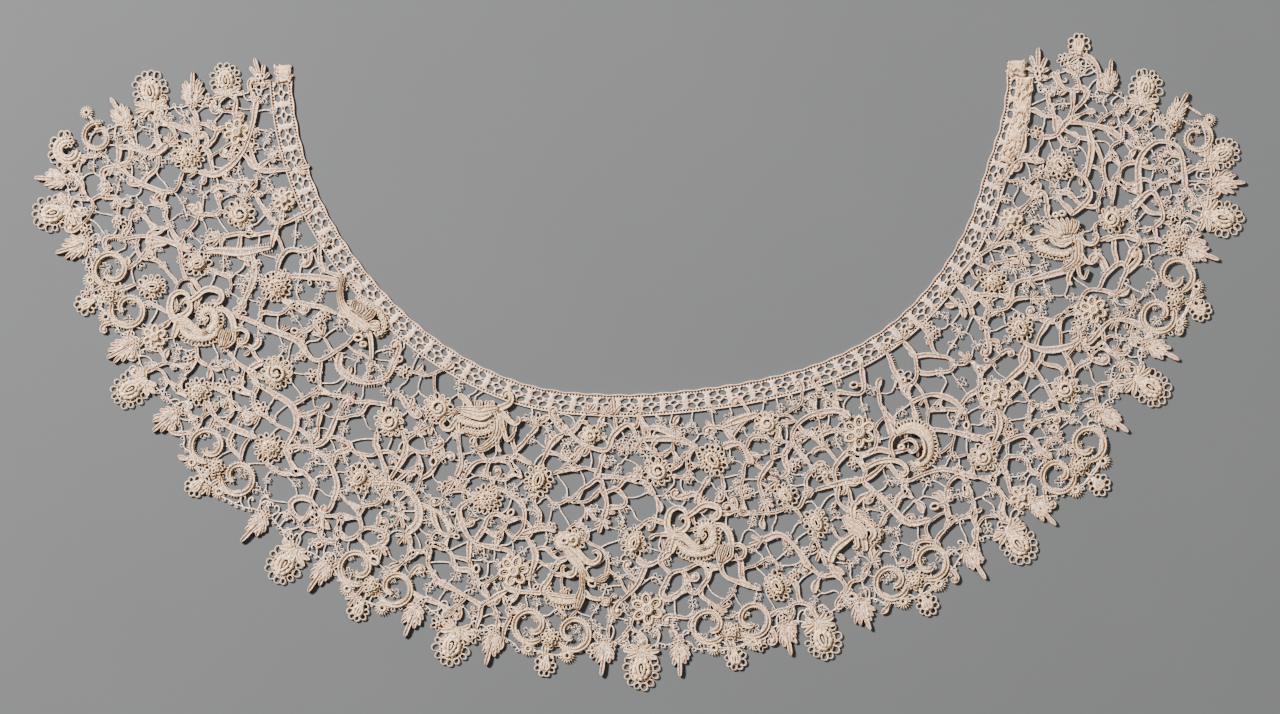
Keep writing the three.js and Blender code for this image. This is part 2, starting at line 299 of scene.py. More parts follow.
STEM_LINEN = linen("stem_linen", light=(0.95, 0.73, 0.54), deep=(0.33, 0.19, 0.12),
                   warm=(0.90, 0.64, 0.42), pitch=0.8, depth=0.2, groove=0.62)
THREAD_LINEN = linen("thread_linen", light=(0.96, 0.77, 0.60), deep=(0.38, 0.24, 0.17),
                     warm=(0.86, 0.66, 0.49), pitch=0.9, depth=0.08, twist=1)
RAISED_LINEN = linen("raised_linen", light=(0.96, 0.75, 0.53), deep=(0.38, 0.23, 0.13),
                     warm=(0.93, 0.68, 0.42), pitch=0.75, depth=0.25, groove=0.4)
BAND_LINEN = linen("band_linen", light=(0.88, 0.63, 0.46), deep=(0.40, 0.24, 0.15),
                   warm=(0.82, 0.58, 0.41), pitch=0.8, depth=0.06, twist=1)
CLOTH_LINEN = woven("cloth_linen", light=(0.77, 0.54, 0.39), deep=(0.26, 0.15, 0.09), pitch=0.6)
TAPE_LINEN = woven("tape_linen", light=(0.75, 0.50, 0.30), deep=(0.26, 0.14, 0.07), pitch=0.6)
BOARD = pale_board("board")


# Meshes from grids of points -----------------------------------------------------------------


class Skein:
    """One mesh gathered from many threads, ribbons and plates."""

    def __init__(self):
        self.points, self.tones, self.faces, self.corners = [], [], [], []
        self.size = 0

    def lay(self, grid, loop=False, tone=0.3, girth=1.0):
        """Adds grids of copies x rows x columns x 3, in mm. Rows follow the strand and columns go
        round it, right-handed about the way it runs. A loop's last row joins its first; a strand's
        two ends get caps. The UV map holds mm along the strand and the share of girth round it."""
        grid = np.asarray(grid, float)
        grid = grid.reshape((-1,) + grid.shape[-3:])
        copies, rows, columns = grid.shape[:3]
        index = self.size + np.arange(copies * rows * columns).reshape(copies, rows, columns)
        mesh = np.concatenate([index, index[:, :, :1]], 2)
        mesh = np.concatenate([mesh, mesh[:, :1]], 1) if loop else mesh
        middle = grid.mean(2)
        step = np.linalg.norm(np.roll(middle, -1, 1) - middle, axis=-1)
        run = np.concatenate([np.zeros((copies, 1)), np.cumsum(step, 1)], 1)[:, :mesh.shape[1]]
        chart = np.stack(np.broadcast_arrays(run[:, :, None], np.linspace(0, girth, columns + 1)), -1)
        for table, kept in ((mesh, self.faces), (chart, self.corners)):
            corners = [table[:, :-1, :-1], table[:, :-1, 1:], table[:, 1:, 1:], table[:, 1:, :-1]]
            kept.append(np.stack(corners, 3).reshape((-1, 4) + table.shape[3:]))
        if not loop:
            for end, way in ((0, -1), (-1, 1)):
                self.faces.append(index[:, end, ::way])
                self.corners.append(chart[:, end, :-1][:, ::way])
        self.points.append(grid.reshape(-1, 3))
        self.tones.append(np.broadcast_to(np.reshape(tone, (-1, 1, 1)), index.shape).ravel())
        self.size += index.size

    def facet(self, points, faces, chart, tone=0.3):
        """Adds triangles over points x 3, with the chart's mm as their UV map."""
        self.faces.append(self.size + faces)
        self.corners.append(chart[faces])
        self.points.append(points)
        self.tones.append(np.full(len(points), tone))
        self.size += len(points)

    def piece(self, name, material, slot, nodes=()):
        """Makes the mesh a piece of the collar, which may stand for CAD nodes."""
        mesh = bpy.data.meshes.new(name)
        mesh.vertices.add(self.size)
        mesh.vertices.foreach_set("co", np.concatenate(self.points).ravel() * MM)
        loops = np.concatenate([face.ravel() for face in self.faces])
        sizes = np.concatenate([np.full(len(face), face.shape[1]) for face in self.faces])
        mesh.loops.add(len(loops))
        mesh.loops.foreach_set("vertex_index", loops)
        mesh.polygons.add(len(sizes))
        mesh.polygons.foreach_set("loop_start", np.cumsum(sizes) - sizes)
        mesh.polygons.foreach_set("use_smooth", np.ones(len(sizes), bool))
        chart = np.concatenate([corner.reshape(-1, 2) for corner in self.corners])
        mesh.uv_layers.new(name="UVMap").data.foreach_set("uv", chart.ravel())
        mesh.attributes.new("tone", "FLOAT", "POINT").data.foreach_set("value", np.concatenate(self.tones))
        mesh.update(calc_edges=True)
        mesh.materials.append(material)
        made = added(name, mesh)
        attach(made, "root")
        if nodes:
            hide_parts(*nodes)
        return made


CORDED = np.array([
    # across in half widths, up in heights: two cords with a groove between them
    (1.02, 0.0), (1.04, 0.7), (0.74, 1.04), (0.4, 0.45),
    (-0.4, 0.45), (-0.74, 1.04), (-1.04, 0.7), (-1.02, 0.0),
])
EDGED = np.array([
    # flat cloth with a thin cord along both edges
    (1.01, 0.0), (1.03, 0.8), (0.9, 1.06), (0.76, 0.72),
    (-0.76, 0.72), (-0.9, 1.06), (-1.03, 0.8), (-1.01, 0.0),
])
PADDED = np.array([
    # a full, rounded strand with a flat base
    (1.0, 0.0), (1.02, 0.42), (0.68, 0.86), (0.0, 1.02), (-0.68, 0.86), (-1.02, 0.42), (-1.0, 0.0),
])


def carry(path, section, loop=False):
    """Carries a section along paths. Each point is the path's, plus across times its level side
    and up times its lift, which is square to both. path is copies x rows x 3."""
    ahead = np.roll(path, -1, 1) - np.roll(path, 1, 1) if loop else np.gradient(path, axis=1)
    ahead = ahead / (np.linalg.norm(ahead, axis=-1, keepdims=True) + 1e-9)
    side = np.concatenate([leftward(ahead), np.zeros(ahead.shape[:2] + (1,))], -1)
    side = side / (np.linalg.norm(side, axis=-1, keepdims=True) + 1e-9)
    lift = np.cross(ahead, side)
    return path[:, :, None] + section[..., :1] * side[:, :, None] + section[..., 1:] * lift[:, :, None]


def copies_of(path):
    """The path as copies x rows x 2, also where it is one copy of rows x 2."""
    path = np.asarray(path, float)
    return path.reshape((-1,) + path.shape[-2:])


def strand_rows(path, level):
    """The path as copies x rows x 3, at a height of level mm: one number, or copies x rows."""
    path = copies_of(path)
    height = np.broadcast_to(level, path.shape[:2])
    return np.concatenate([path, height[..., None]], -1)


def round_angles(count):
    """Angles in radians, evenly spaced all the way round."""
    return np.arange(count) * FULL_TURN / count


def thread(skein, path, radius, level=0.6, sides=5, loop=False, tone=0.3):
    """A round thread: a circle of sides points carried along the path."""
    circle = np.stack([np.cos(round_angles(sides)), np.sin(round_angles(sides))], -1)
    rows = strand_rows(path, level)
    radius = np.broadcast_to(radius, rows.shape[:2])[..., None, None]
    skein.lay(carry(rows, radius * circle, loop), loop, tone)


def ribbon(skein, path, half, height, level=0.0, section=CORDED, loop=False, tone=0.3):
    """A corded or padded ribbon of half widths and heights in mm along the path."""
    rows = strand_rows(path, level)
    size = np.stack(np.broadcast_arrays(half, height, np.zeros(rows.shape[:2]))[:2], -1)
    girth = 1.0 if section is CORDED else UNGROOVED
    skein.lay(carry(rows, size[:, :, None] * section, loop), loop, tone, girth)


def crowded(rows, crowd):
    """Shares from 0 to 1 that come closer together towards the end."""
    return 1 - (1 - np.linspace(0, 1, rows)) ** crowd


def rounded(share, start, end, least=0.2):
    """How full a strand is at shares of its length: 1, but a quarter circle over the parts named
    at its start and its end. A whole number stands for that many even rows."""
    share = np.linspace(0, 1, share) if np.ndim(share) == 0 else share
    full = np.ones(len(share))
    for part, gone in ((start, share), (end, 1 - share)):
        if part:
            full = full * np.sqrt(np.clip(1 - (1 - np.minimum(gone / part, 1)) ** 2, 0, 1))
    return np.maximum(full, least)


def bent(length, bend, curl, rows, crowd=1.0):
    """A path from the origin along +X whose heading has turned by bend * share + curl * share^3,
    in degrees; lengths and bends may be arrays, one for each copy."""
    share = crowded(rows, crowd)
    length, bend, curl = (np.asarray(value, float)[..., None] for value in (length, bend, curl))
    middle = (share[1:] + share[:-1]) / 2
    step = unit(bend * middle + curl * middle ** 3) * (length * np.diff(share))[..., None]
    return np.concatenate([np.zeros_like(step[..., :1, :]), np.cumsum(step, -2)], -2)


def oval(long, wide, rows=20, centre=(0.0, 0.0), waves=0, swell=0.0, phase=0.0):
    """A closed ellipse, its radius swollen and pinched in waves."""
    angle = round_angles(rows)
    swollen = 1 + swell * np.cos(waves * angle + phase)
    return np.stack([long * swollen * np.cos(angle), wide * swollen * np.sin(angle)], -1) + centre


def spread(shape, spots, headings=0.0, size=1.0):
    """Copies a flat shape to each spot, turned to its heading. A shape of rows x 2 gives
    copies x rows x 2."""
    spots = np.atleast_2d(spots)
    sized = np.asarray(shape) * np.broadcast_to(size, len(spots))[:, None, None]
    return turned_by(sized, np.broadcast_to(headings, len(spots))) + spots[:, None]


def resampled(path, step):
    """The same path with rows about step mm apart."""
    gone = np.concatenate([[0], np.cumsum(np.linalg.norm(np.diff(path, axis=0), axis=1))])
    rows = max(int(round(gone[-1] / step)) + 1, 3)
    even = np.linspace(0, gone[-1], rows)
    return np.stack([np.interp(even, gone, path[:, axis]) for axis in (0, 1)], -1)


def sides_of(path):
    """Unit vectors to the left of a path of rows x 2."""
    ahead = np.gradient(path, axis=0)
    return leftward(ahead / (np.linalg.norm(ahead, axis=1, keepdims=True) + 1e-9))


def teeth(skein, path, half, hand=1, spacing=1.45, length=1.2, level=0.6, tone=0.5):
    """Picots standing out of one edge of a strand: short tapered threads, evenly spaced."""
    even = resampled(path, spacing)
    far = half + np.array([-0.3, 0.45, 1.0]) * length
    rows = even[:, None] + (sides_of(even) * hand)[:, None] * far[:, None]
    thread(skein, rows, np.array([0.36, 0.36, 0.26]), level, sides=3, tone=tone)


# The collar's lines --------------------------------------------------------------------------

NECK_LINE = [
    # turn, radius of the neck edge, width of the band
    (0, 204.7, 14), (9, 203.8, 15.4), (17, 201.8, 13.6), (28, 204.4, 12.8), (50, 203.8, 12.8),
    (60, 199.6, 12.8), (72, 193.8, 12.8), (84, 191.4, 12.8), (98, 194.8, 12.8), (112, 201.4, 12.8),
    (126, 204.4, 12.8), (142, 206.6, 12.8), (160, 210, 12.8), (180, 211.1, 12.8),
]
SPRAYS = [
    # palmette's turn, reach of the rim, turns of the leaves before and after it
    (15.4, 329.4, None, 19.3), (33.3, 331.8, 29.7, 38), (53, 338.1, 49.2, 57.4),
    (73.8, 336.4, 69.3, 77), (91.3, 339.9, 87.6, 94.9), (109.2, 346.3, 105.7, 113.6),
    (126.4, 349.7, 123.2, 130.7), (148, 346.3, 143.8, 151.6), (165.9, 348, 162.3, None),
]
LOBE_CROWNS = [340.5, 348.6, 345.1, 342.2, 348.6, 354.4, 355.5, 351.5]
LOBE_STEPS = 8  # rows of the rim from one spray to the next, and one less between them
LOBE_MARGIN = 1.0  # degrees between a leaf and the lobe beside it
LOBE_FULLNESS = 0.8  # the lower, the squarer a lobe's shoulders
LEAF_INSET = 3.6  # mm by which a leaf's root lies inside the line of the palmettes' roots
SCROLL_AT = (-14.0, 12.6)  # a lobe's scroll from its crown: inwards, and to each side
SCROLL_REACH, SCROLL_SIZE = 10.6, 1.17  # mm that a scroll fills all round, and its scale
RIGHT_END = [
    # turn, reach, motif, heading, size
    (2.85, 219.7, None, 0, 0), (2.9, 222.6, "crest", 90, 0.9), (2, 233.4, None, 0, 0),
    (-0.7, 245.9, "floret", 90, 1), (1.6, 256.5, None, 0, 0), (3.5, 263.8, "leaf", 86, 0.85),
    (5.3, 283.7, "palmette", 80, 0.92), (6.4, 301.7, "leaf", 62, 0.9), (6.9, 321, None, 0, 0),
    (10.1, 324.6, "palmette", 21, 0.84), (12.3, 330, "leaf", 3, 1),
]
LEFT_END = [
    (168.6, 347.3, "leaf", 175, 1), (170.2, 335.4, "shell", 150, 0.95), (172.9, 328.6, None, 0, 0),
    (173.1, 308, "leaf", 120, 0.95), (174.3, 292.6, "palmette", 97, 1),
    (174.8, 269.1, "leaf", 92, 0.95), (175.2, 248.5, "palmette", 97, 0.85),
    (176.3, 227.4, "crest", 107, 0.82), (176.5, 224.5, None, 0, 0),
]


def place(turn, reach):
    """The point at a turn and a reach from the neck centre."""
    return NECK_CENTRE + np.asarray(reach)[..., None] * unit(-turn)


def column(table, number):
    """A cubic curve through one column of a table against its first: Hermite pieces whose slopes
    are those of the neighbouring rows."""
    turns, values = np.array([(row[0], row[number]) for row in table], float).T
    slopes = np.gradient(values, turns)

    def curve(turn):
        """The column's value at a turn."""
        low = np.clip(np.searchsorted(turns, turn) - 1, 0, len(turns) - 2)
        gap = turns[low + 1] - turns[low]
        share = (turn - turns[low]) / gap
        rise = share ** 2 * (3 - 2 * share)
        start, end = share * (1 - share) ** 2 * gap, share ** 2 * (share - 1) * gap
        even = values[low] + (values[low + 1] - values[low]) * rise
        return even + slopes[low] * start + slopes[low + 1] * end

    return curve


neck_radius, band_width = column(NECK_LINE, 1), column(NECK_LINE, 2)


def edge_rows():
    """The rim from the right end to the left: turn, reach, motif, heading and size of each row,
    with a lobe of two scrolls between each two sprays. Also returns the lobes' turns and reaches."""
    rows, lobes = list(RIGHT_END), []
    for number, (turn, rim, before, after) in enumerate(SPRAYS):
        inset = rim - LEAF_INSET
        spray = (("leaf", before, inset), ("palmette", turn, rim), ("leaf", after, inset))
        for motif, where, reach in spray:
            if where is not None:
                rows.append((where, reach, motif, -where, 1))
        if number == len(LOBE_CROWNS):
            break
        _, next_rim, next_before, _ = SPRAYS[number + 1]
        start, end = after + LOBE_MARGIN, next_before - LOBE_MARGIN
        rise = LOBE_CROWNS[number] - (rim + next_rim) / 2
        for step in range(1, LOBE_STEPS):
            share = step / LOBE_STEPS
            reach = rim + (next_rim - rim) * share + rise * np.sin(np.pi * share) ** LOBE_FULLNESS
            where = start + (end - start) * share
            crown = step == LOBE_STEPS // 2
            rows.append((where, reach, "floret" if crown else None, -where, 1))
            if crown:
                lobes.append((where, reach))
    return rows + LEFT_END, lobes


EDGE, LOBES = edge_rows()
RIM = place(np.array([row[0] for row in EDGE]), np.array([row[1] for row in EDGE]))
SEAM_TURNS = np.linspace(EDGE[0][0], EDGE[-1][0], 120)
NECK_SEAM = place(SEAM_TURNS, neck_radius(SEAM_TURNS) + band_width(SEAM_TURNS))
OUTLINE = np.concatenate([NECK_SEAM, RIM[::-1]])

ROSETTES = [
    # turn, reach, radius, kind
    (6.6, 302.4, 5, 3), (14.3, 242.4, 9.5, 1), (19, 279.7, 8.5, 0), (23.9, 226, 6.5, 2),
    (19.1, 318.6, 7, 3), (49.9, 330, 6.5, 2), (50.3, 297.8, 8.5, 0), (61.1, 245.1, 9.5, 2),
    (70.7, 283.2, 9, 1), (72.8, 219.5, 8, 0), (73.2, 262.4, 8, 1), (76.9, 312, 9.5, 1),
    (81.8, 233.2, 10, 1), (89.6, 237.2, 9, 0), (90.8, 317.3, 9.5, 2), (92.5, 279.2, 9, 1),
    (99.7, 281.3, 7.5, 0), (99.9, 219.6, 6.5, 0), (105.6, 251.8, 10, 1), (105.5, 306.3, 9, 2),
    (111, 271.5, 9, 3), (122.1, 236.7, 9, 0), (125.4, 296.1, 9, 1), (126.5, 259.1, 9.5, 0),
    (135, 316.6, 9, 3), (140.6, 283.9, 10, 0), (144.2, 326.6, 8, 3), (149.3, 255.6, 9, 3),
    (151.2, 331, 7, 2), (156.2, 289.8, 8.5, 1), (155.9, 319.1, 9, 1), (159.9, 256.3, 9, 0),
    (159.7, 229.5, 6.5, 2), (168.7, 275.6, 10, 3), (36, 262, 9, 1), (29.5, 292, 8, 2),
    (38.6, 304, 8.5, 0), (33, 234, 7.5, 3), (44.5, 276, 8, 2), (170.5, 246, 7.5, 2),
]
FEATHERED_FAN = [
    # each strand of a raised motif: kind, half widths along it, level of its foot, then its
    # points in mm to the right of and above the motif's middle
    ("cord", (0.8, 1.2, 1.1), 1, (-6, 4.4), (-12, 7), (-17.5, 8.6)),
    ("cord", (0.8, 1.1, 1), 1.1, (-5.4, 5.2), (-10.6, 9.2), (-15, 11.8)),
    ("cord", (0.8, 1.1, 1), 1, (-4.6, 5.8), (-8, 10.8), (-12, 14)),
    ("cord", (0.7, 1.1, 1), 1.1, (-3.6, 6), (-5.6, 11.2), (-8.8, 15.2)),
    ("cord", (0.7, 1, 0.9), 1, (-2.6, 6.2), (-3.2, 11.4), (-5.4, 15.6)),
    ("cord", (0.7, 1, 0.9), 1.1, (-1.4, 6.2), (-0.8, 11.4), (-2.2, 15.8)),
    ("cord", (0.7, 1.1, 1), 1, (0, 6.4), (1.4, 11), (1.2, 15)),
    ("cord", (0.8, 1.2, 1), 1.1, (1.6, 6.6), (3.8, 10.4), (4.4, 14)),
    ("ring", (1.7, 1.3), 0.8, (-4.6, 18.2)),
    ("ring", (1.3, 1.1), 0.8, (-8.4, 17.4)),
    ("room", (6,), 0, (-10, 9.5)),
    ("room", (6,), 0, (-2, 12)),
    ("frill", (1, 2.4, 1.4, 1.3, 0.9), 0.3, (-17, 3), (-17.5, -1), (-13, -3.5), (-7, -5), (-3, -5),
     (1, -2)),
    ("cord", (1, 1.2, 1.6, 1.1), 0.2, (-9, 4), (-12.5, 5), (-17.5, 4.5), (-22, 3.5), (-26, 5.5),
     (-27, 9), (-23.5, 11)),
    ("cord", (1.5, 1.2, 1), 0.3, (5.5, 7), (6.5, 3.5), (9, 1), (13, 0.5), (15.5, 3), (15.5, 6),
     (12.8, 6)),
    ("cord", (1.4, 1.1, 0.8), 0.3, (6, -5), (9.5, -9.5), (12.5, -10.5), (15, -8.5), (16.5, -6.5)),
    ("cord", (1.2, 0.9, 0.8), 0.3, (4.5, -12), (5.5, -17), (8, -19.5), (9.5, -17), (10.5, -14.5)),
    ("cord", (1.5, 1.4, 1.1), 0.2, (3, -11), (0, -16.5), (-1, -20.5), (1, -23.5)),
    ("cloth", (1.4, 3.2, 3.6, 3.8, 2.2), 0.5, (-10.5, 5), (-7.5, 4), (-4, 3.6), (0, 4.6), (4, 7.4)),
    ("cloth", (2.4, 3.5, 3.2, 2.6, 1.3), 0.4, (2.4, 7.5), (3.6, 2.5), (4.2, -3.5), (3.8, -8.5),
     (0.5, -12), (-5, -14.5)),
    ("pad", (0.7,), 1.7, (-14, 5.5), (-11, 3.6), (-8.5, 0.5), (-5, -1), (-1.5, 0), (1, 2.2)),
]
HAND_FAN = [
    ("cord", (1.6, 1.6, 1.9), 0.4, (-5.5, 7), (-6, 12), (-5, 16)),
    ("frill", (0.9,), 0.4, (5, 3.2), (0.5, 6.8), (-3.5, 10.5)),
    ("cord", (1.3, 1.2), 0.4, (-4.5, -2), (-3.5, -6), (-3.5, -9), (-6, -9.5)),
    ("cord", (1.8, 1.6), 0.4, (0, -3), (1, -7), (1.5, -11.5)),
    ("cord", (1.8, 1.2, 0.6), 0.4, (-8, 3), (-13, 2)),
    ("comb", (1.4, 2.2, 1.9), 0.4, (-5.5, -2), (-10, -5.5), (-14.5, -9), (-17.5, -13), (-19, -18)),
    ("frill", (0.4,), 0.2, (5.5, -6.8), (8.5, -4), (9, -1), (8, 2.5)),
    ("cloth", (1.4, 3, 4.4, 3.6, 1.8), 0.9, (-11.5, 9), (-8, 5), (-4, 2), (-1, -0.5), (0.5, -4.5)),
    ("cord", (1.6, 1.9, 1.3), 1.2, (1.5, 1.8), (5, 1.6), (6, -2), (3.6, -5)),
]
FORKED_FAN = [
    ("cord", (1.9, 1.7, 0.9), 0.4, (-14.5, 23), (-10, 18.5), (-6, 14), (-2, 11.5), (1.6, 13), (3, 16),
     (1, 18.5), (-1.6, 17.4)),
    ("cord", (1.5, 1.2, 0.9), 0.4, (-11, 10), (-12, 5.5), (-15, 4), (-18.3, 6), (-18.6, 9.2),
     (-16.4, 9.6)),
    ("cord", (1.5, 1.2), 0.4, (-6.5, 8), (-3.5, 2.5), (0, 1.6)),
    ("cloth", (0.9, 2.2, 0.6), 0.6, (0.2, 1.6), (4.2, 2.6), (8.8, 5.2)),
    ("cord", (2, 1.2, 1.1), 0.4, (-6.5, -5), (-2, -8.5), (3.6, -9.6)),
    ("cloth", (1.6, 2.8, 1.6), 0.6, (4, -10.2), (6.4, -10.8), (8.8, -11.2)),
    ("frill", (0.9, 2, 2.6, 2.2), 0.4, (-27, -6.4), (-24.5, -9.4), (-18, -10.6), (-10.5, -9.6)),
    ("cord", (1,), 1, (-27.5, -6), (-22, -6.8), (-17, -7.8), (-10.5, -7.5)),
    ("frill", (1.4,), 0.4, (-15.4, 21.4), (-20.6, 21.6), (-20.6, 26.6), (-15.2, 27.4), (-13.6, 23.4)),
    ("ring", (2, 1.6), 1.4, (-17.4, 24.4)),
    ("cloth", (1.6, 2.3, 2.5, 1.8, 1.5, 2.9, 1.6), 0.7, (-19, 24), (-17, 20.5), (-13.5, 15), (-9.5, 11),
     (-7.2, 6), (-7.2, 0), (-7.6, -5), (-9, -10), (-10.5, -15.5)),
]
CROWNED_FAN = [
    ("cloth", (2, 2.6), 0.7, (-5.5, 11.5), (-5.6, 17.2)),
    ("cloth", (2.6, 3.1), 0.7, (0.8, 11.5), (1.2, 17)),
    ("cord", (1.6,), 0.4, (-17, 20.5), (-13.5, 18), (-9.5, 13.5)),
    ("frill", (1.3, 1.8, 2, 1.1), 0.4, (-17.5, 7.4), (-14.5, 5), (-10, 3.8), (-6, 3), (-2.5, 3.4),
     (1, 5.6), (2.5, 8)),
    ("frill", (0.5,), 0.2, (-14, 0.4), (-10, -0.9), (-5, -1.9), (0, -0.8), (2.6, 2.4)),
    ("cord", (2, 1.5, 1.3), 0.4, (5.5, 12.5), (9, 13.5), (12.5, 15.5), (13.6, 19), (11.6, 22),
     (9.2, 21), (10, 18.8)),
    ("cord", (2, 1.5, 1), 0.4, (5.5, 11.5), (10, 8), (13, 5), (16, 3.5), (18, 5.5), (17, 7.8)),
    ("cord", (1.6, 1.2, 0.9), 0.4, (7.5, 4.5), (9.5, -1.5), (11, -6), (13.5, -4.4), (15.5, -1.5)),
    ("cord", (1.3, 1.1), 0.4, (5.5, -3.5), (5.5, -9.5), (7.5, -13)),
    ("cord", (1.2, 1.4, 1.2), 0.4, (-13.5, 9), (-17, 7), (-19.5, 4), (-22, 0.6), (-25.4, 0.8), (-27, 4),
     (-24.6, 6.6)),
    ("cord", (1.2,), 0.3, (-17.6, 5), (-17, 0), (-13.5, -1.5)),
    ("cloth", (2.4, 3, 2.7, 2.4, 1.5), 0.6, (3.5, 11.5), (6.2, 6), (6.2, 0.5), (4.2, -5), (1, -8),
     (-2.5, -10.4), (-7, -11.2)),
    ("cloth", (1.2, 1.9, 3, 3.8, 3.4, 1.8), 1, (-19.5, 9), (-17.5, 11.6), (-11.5, 11.2), (-5, 10),
     (1, 11), (6, 12.4)),
    ("pad", (0.6,), 1.8, (-14, 9), (-10.5, 7.5), (-7, 6.5), (-3.5, 6), (0, 7.5), (2.5, 9.5)),
]
HEAPED_FAN = [
    ("cloth", (1.2, 2.1, 1), 0.6, (3, 3), (3.6, 7), (4.8, 11)),
    ("cloth", (1.8, 2.9, 2.2), 1, (5.5, 2), (8.2, 5), (8.4, 9)),
    ("cloth", (1.8, 2.8, 2.2), 1.3, (9.5, -0.5), (13, 2), (15, 5)),
    ("cloth", (2, 3.2, 2.6), 1, (12.5, -4), (16, -4.4), (19, -4.2)),
    ("frill", (0.5,), 0.2, (17, -9), (20.4, -7), (21.6, -3), (20, 1), (15.8, 5.4), (11, 8.4), (7, 11)),
    ("comb", (1.1,), 0.4, (0.5, -3), (4.5, -5), (6, -8)),
    ("ring", (2.4, 1.7), 0.8, (6.4, -11.4)),
    ("ring", (1.7, 1.2), 0.4, (9.2, -15.2)),
    ("cord", (1.6, 1.3, 1.1), 0.3, (12, -7.5), (13.5, -12), (14, -18.5), (14, -24)),
    ("cloth", (1.6, 1.7, 2, 3, 3.5, 2.4), 0.8, (-2.5, 24.5), (-4, 19), (-4, 11), (-1.5, 5), (3.5, 1),
     (8.5, -3), (12, -7)),
]
SWIRLED_SCROLL = [
    ("cord", (2.2, 1.7, 1.1), 0.4, (-14, 0.5), (-17.5, 4), (-19, 9), (-17.5, 15.5), (-13, 18),
     (-9, 16.5), (-7.5, 13.5)),
    ("cord", (2.1, 1.7, 1), 0.5, (-15, 3), (-11, 4.2), (-7.6, 7.5), (-7.5, 11.5), (-10.5, 12.8),
     (-11.8, 10.5)),
    ("cord", (1.3, 1.9, 1.2), 0.5, (-8, 12.5), (-3.5, 15.5), (1.5, 19.3), (6.5, 19.5), (10.6, 17.5),
     (11, 14), (8.5, 11.6), (5.6, 13.4)),
    ("cord", (2.4, 2, 1.5), 0.4, (-13.6, 1.5), (-14.8, -2.5), (-17, -8.6)),
    ("frill", (1.3, 2.2, 2.2, 1.5), 0.4, (-12.5, -2.5), (-9, -7), (-3.5, -8.8), (2.5, -8.4),
     (6.5, -6.6), (8.5, -2)),
    ("cloth", (2.4, 2.1, 1.6), 1.1, (-14.6, 2.2), (-10, 1.2), (-5.5, -2.6), (-1, -5.5), (3, -4.6)),
    ("frill", (1.8, 2.2, 1.8, 0.9), 0.9, (4, -4.4), (7.4, -0.5), (7.4, 4.5), (4.4, 7.6), (0.6, 6.6),
     (-0.2, 3.2), (2.2, 1.6)),
    ("cord", (1.2, 1.8, 1.6), 0.5, (8.5, 8), (12.5, 7.6), (16.4, 4), (18, -0.5), (18.6, -5)),
    ("cord", (0.9,), 0.6, (12, -3.5), (10, -8.5), (10.8, -13.5)),
    ("cord", (0.9,), 0.8, (14.5, -3), (12.4, -8.8), (11.6, -13.5)),
    ("cord", (0.9,), 0.6, (16.5, -3.6), (14.8, -9.4), (12.4, -13.5)),
    ("cord", (1.1,), 0.5, (18.6, -4.6), (17.8, -10.4), (13.2, -14)),
    ("cord", (1.2, 1.2, 0.9), 0.4, (18.5, -4), (22.5, -3.5), (26, -6), (25, -10.5), (21.6, -11.4),
     (20.8, -8.6)),
]
CURLED_SCROLL = [
    ("frill", (1.6, 2.8, 3.4, 3, 1.4), 0.5, (7.5, -11.5), (13.4, -8.6), (15.6, -2), (14, 5.4), (9, 9.6),
     (2.5, 10.2), (-3.6, 7)),
    ("pad", (0.6,), 1.8, (9, -8.6), (12.4, -5.6), (13, -0.5), (11.4, 4.2), (7.6, 7), (2, 7.6)),
    ("cord", (1,), 0.6, (-0.6, 1.6), (3.6, 3.4), (7.2, 2), (8.4, -1.8), (5.6, -4), (3.4, -2.2)),
    ("cord", (1.2, 1), 0.5, (-4, 6.6), (-6.4, 2.6), (-6.6, -2), (-4.6, -7)),
    ("ring", (1.5, 1.2), 0.4, (-0.4, -1)),
    ("cord", (1.4, 1.5, 1.1), 0.3, (-21, -13), (-14, -9.6), (-6, -8.6), (0, -10.4), (2.8, -14.6),
     (0.6, -17.4), (-1.4, -15.4)),
    ("comb", (0.9,), 0.3, (4.6, -9), (8.6, -13), (13.4, -13.6)),
]
RAISED_MOTIFS = [
    # kind, turn, reach and strands, in the order of their numbers
    ("fan", 23.8, 263, FEATHERED_FAN), ("scroll", 57.2, 264.5, CURLED_SCROLL),
    ("fan", 66.1, 297.7, HAND_FAN), ("scroll", 84.6, 277.6, SWIRLED_SCROLL),
    ("fan", 96.6, 304.1, FORKED_FAN), ("fan", 114.4, 234.3, CROWNED_FAN),
    ("fan", 140.2, 232, HEAPED_FAN), ("scroll", 150, 302.8, SWIRLED_SCROLL),
]
END_SCROLLS = [
    # turn, reach, heading, size and hand of the scrolls at the two ends
    (7.9, 317.3, 60, 1, -1), (172.4, 326, 120, 0.95, 1),
]
END_SUNS = [
    # turn and reach of the suns at the two ends, then those of the foot of their stalks
    (6.0, 323.4, 4.8, 310.2), (174.9, 330.8, 173.5, 325.7),
]
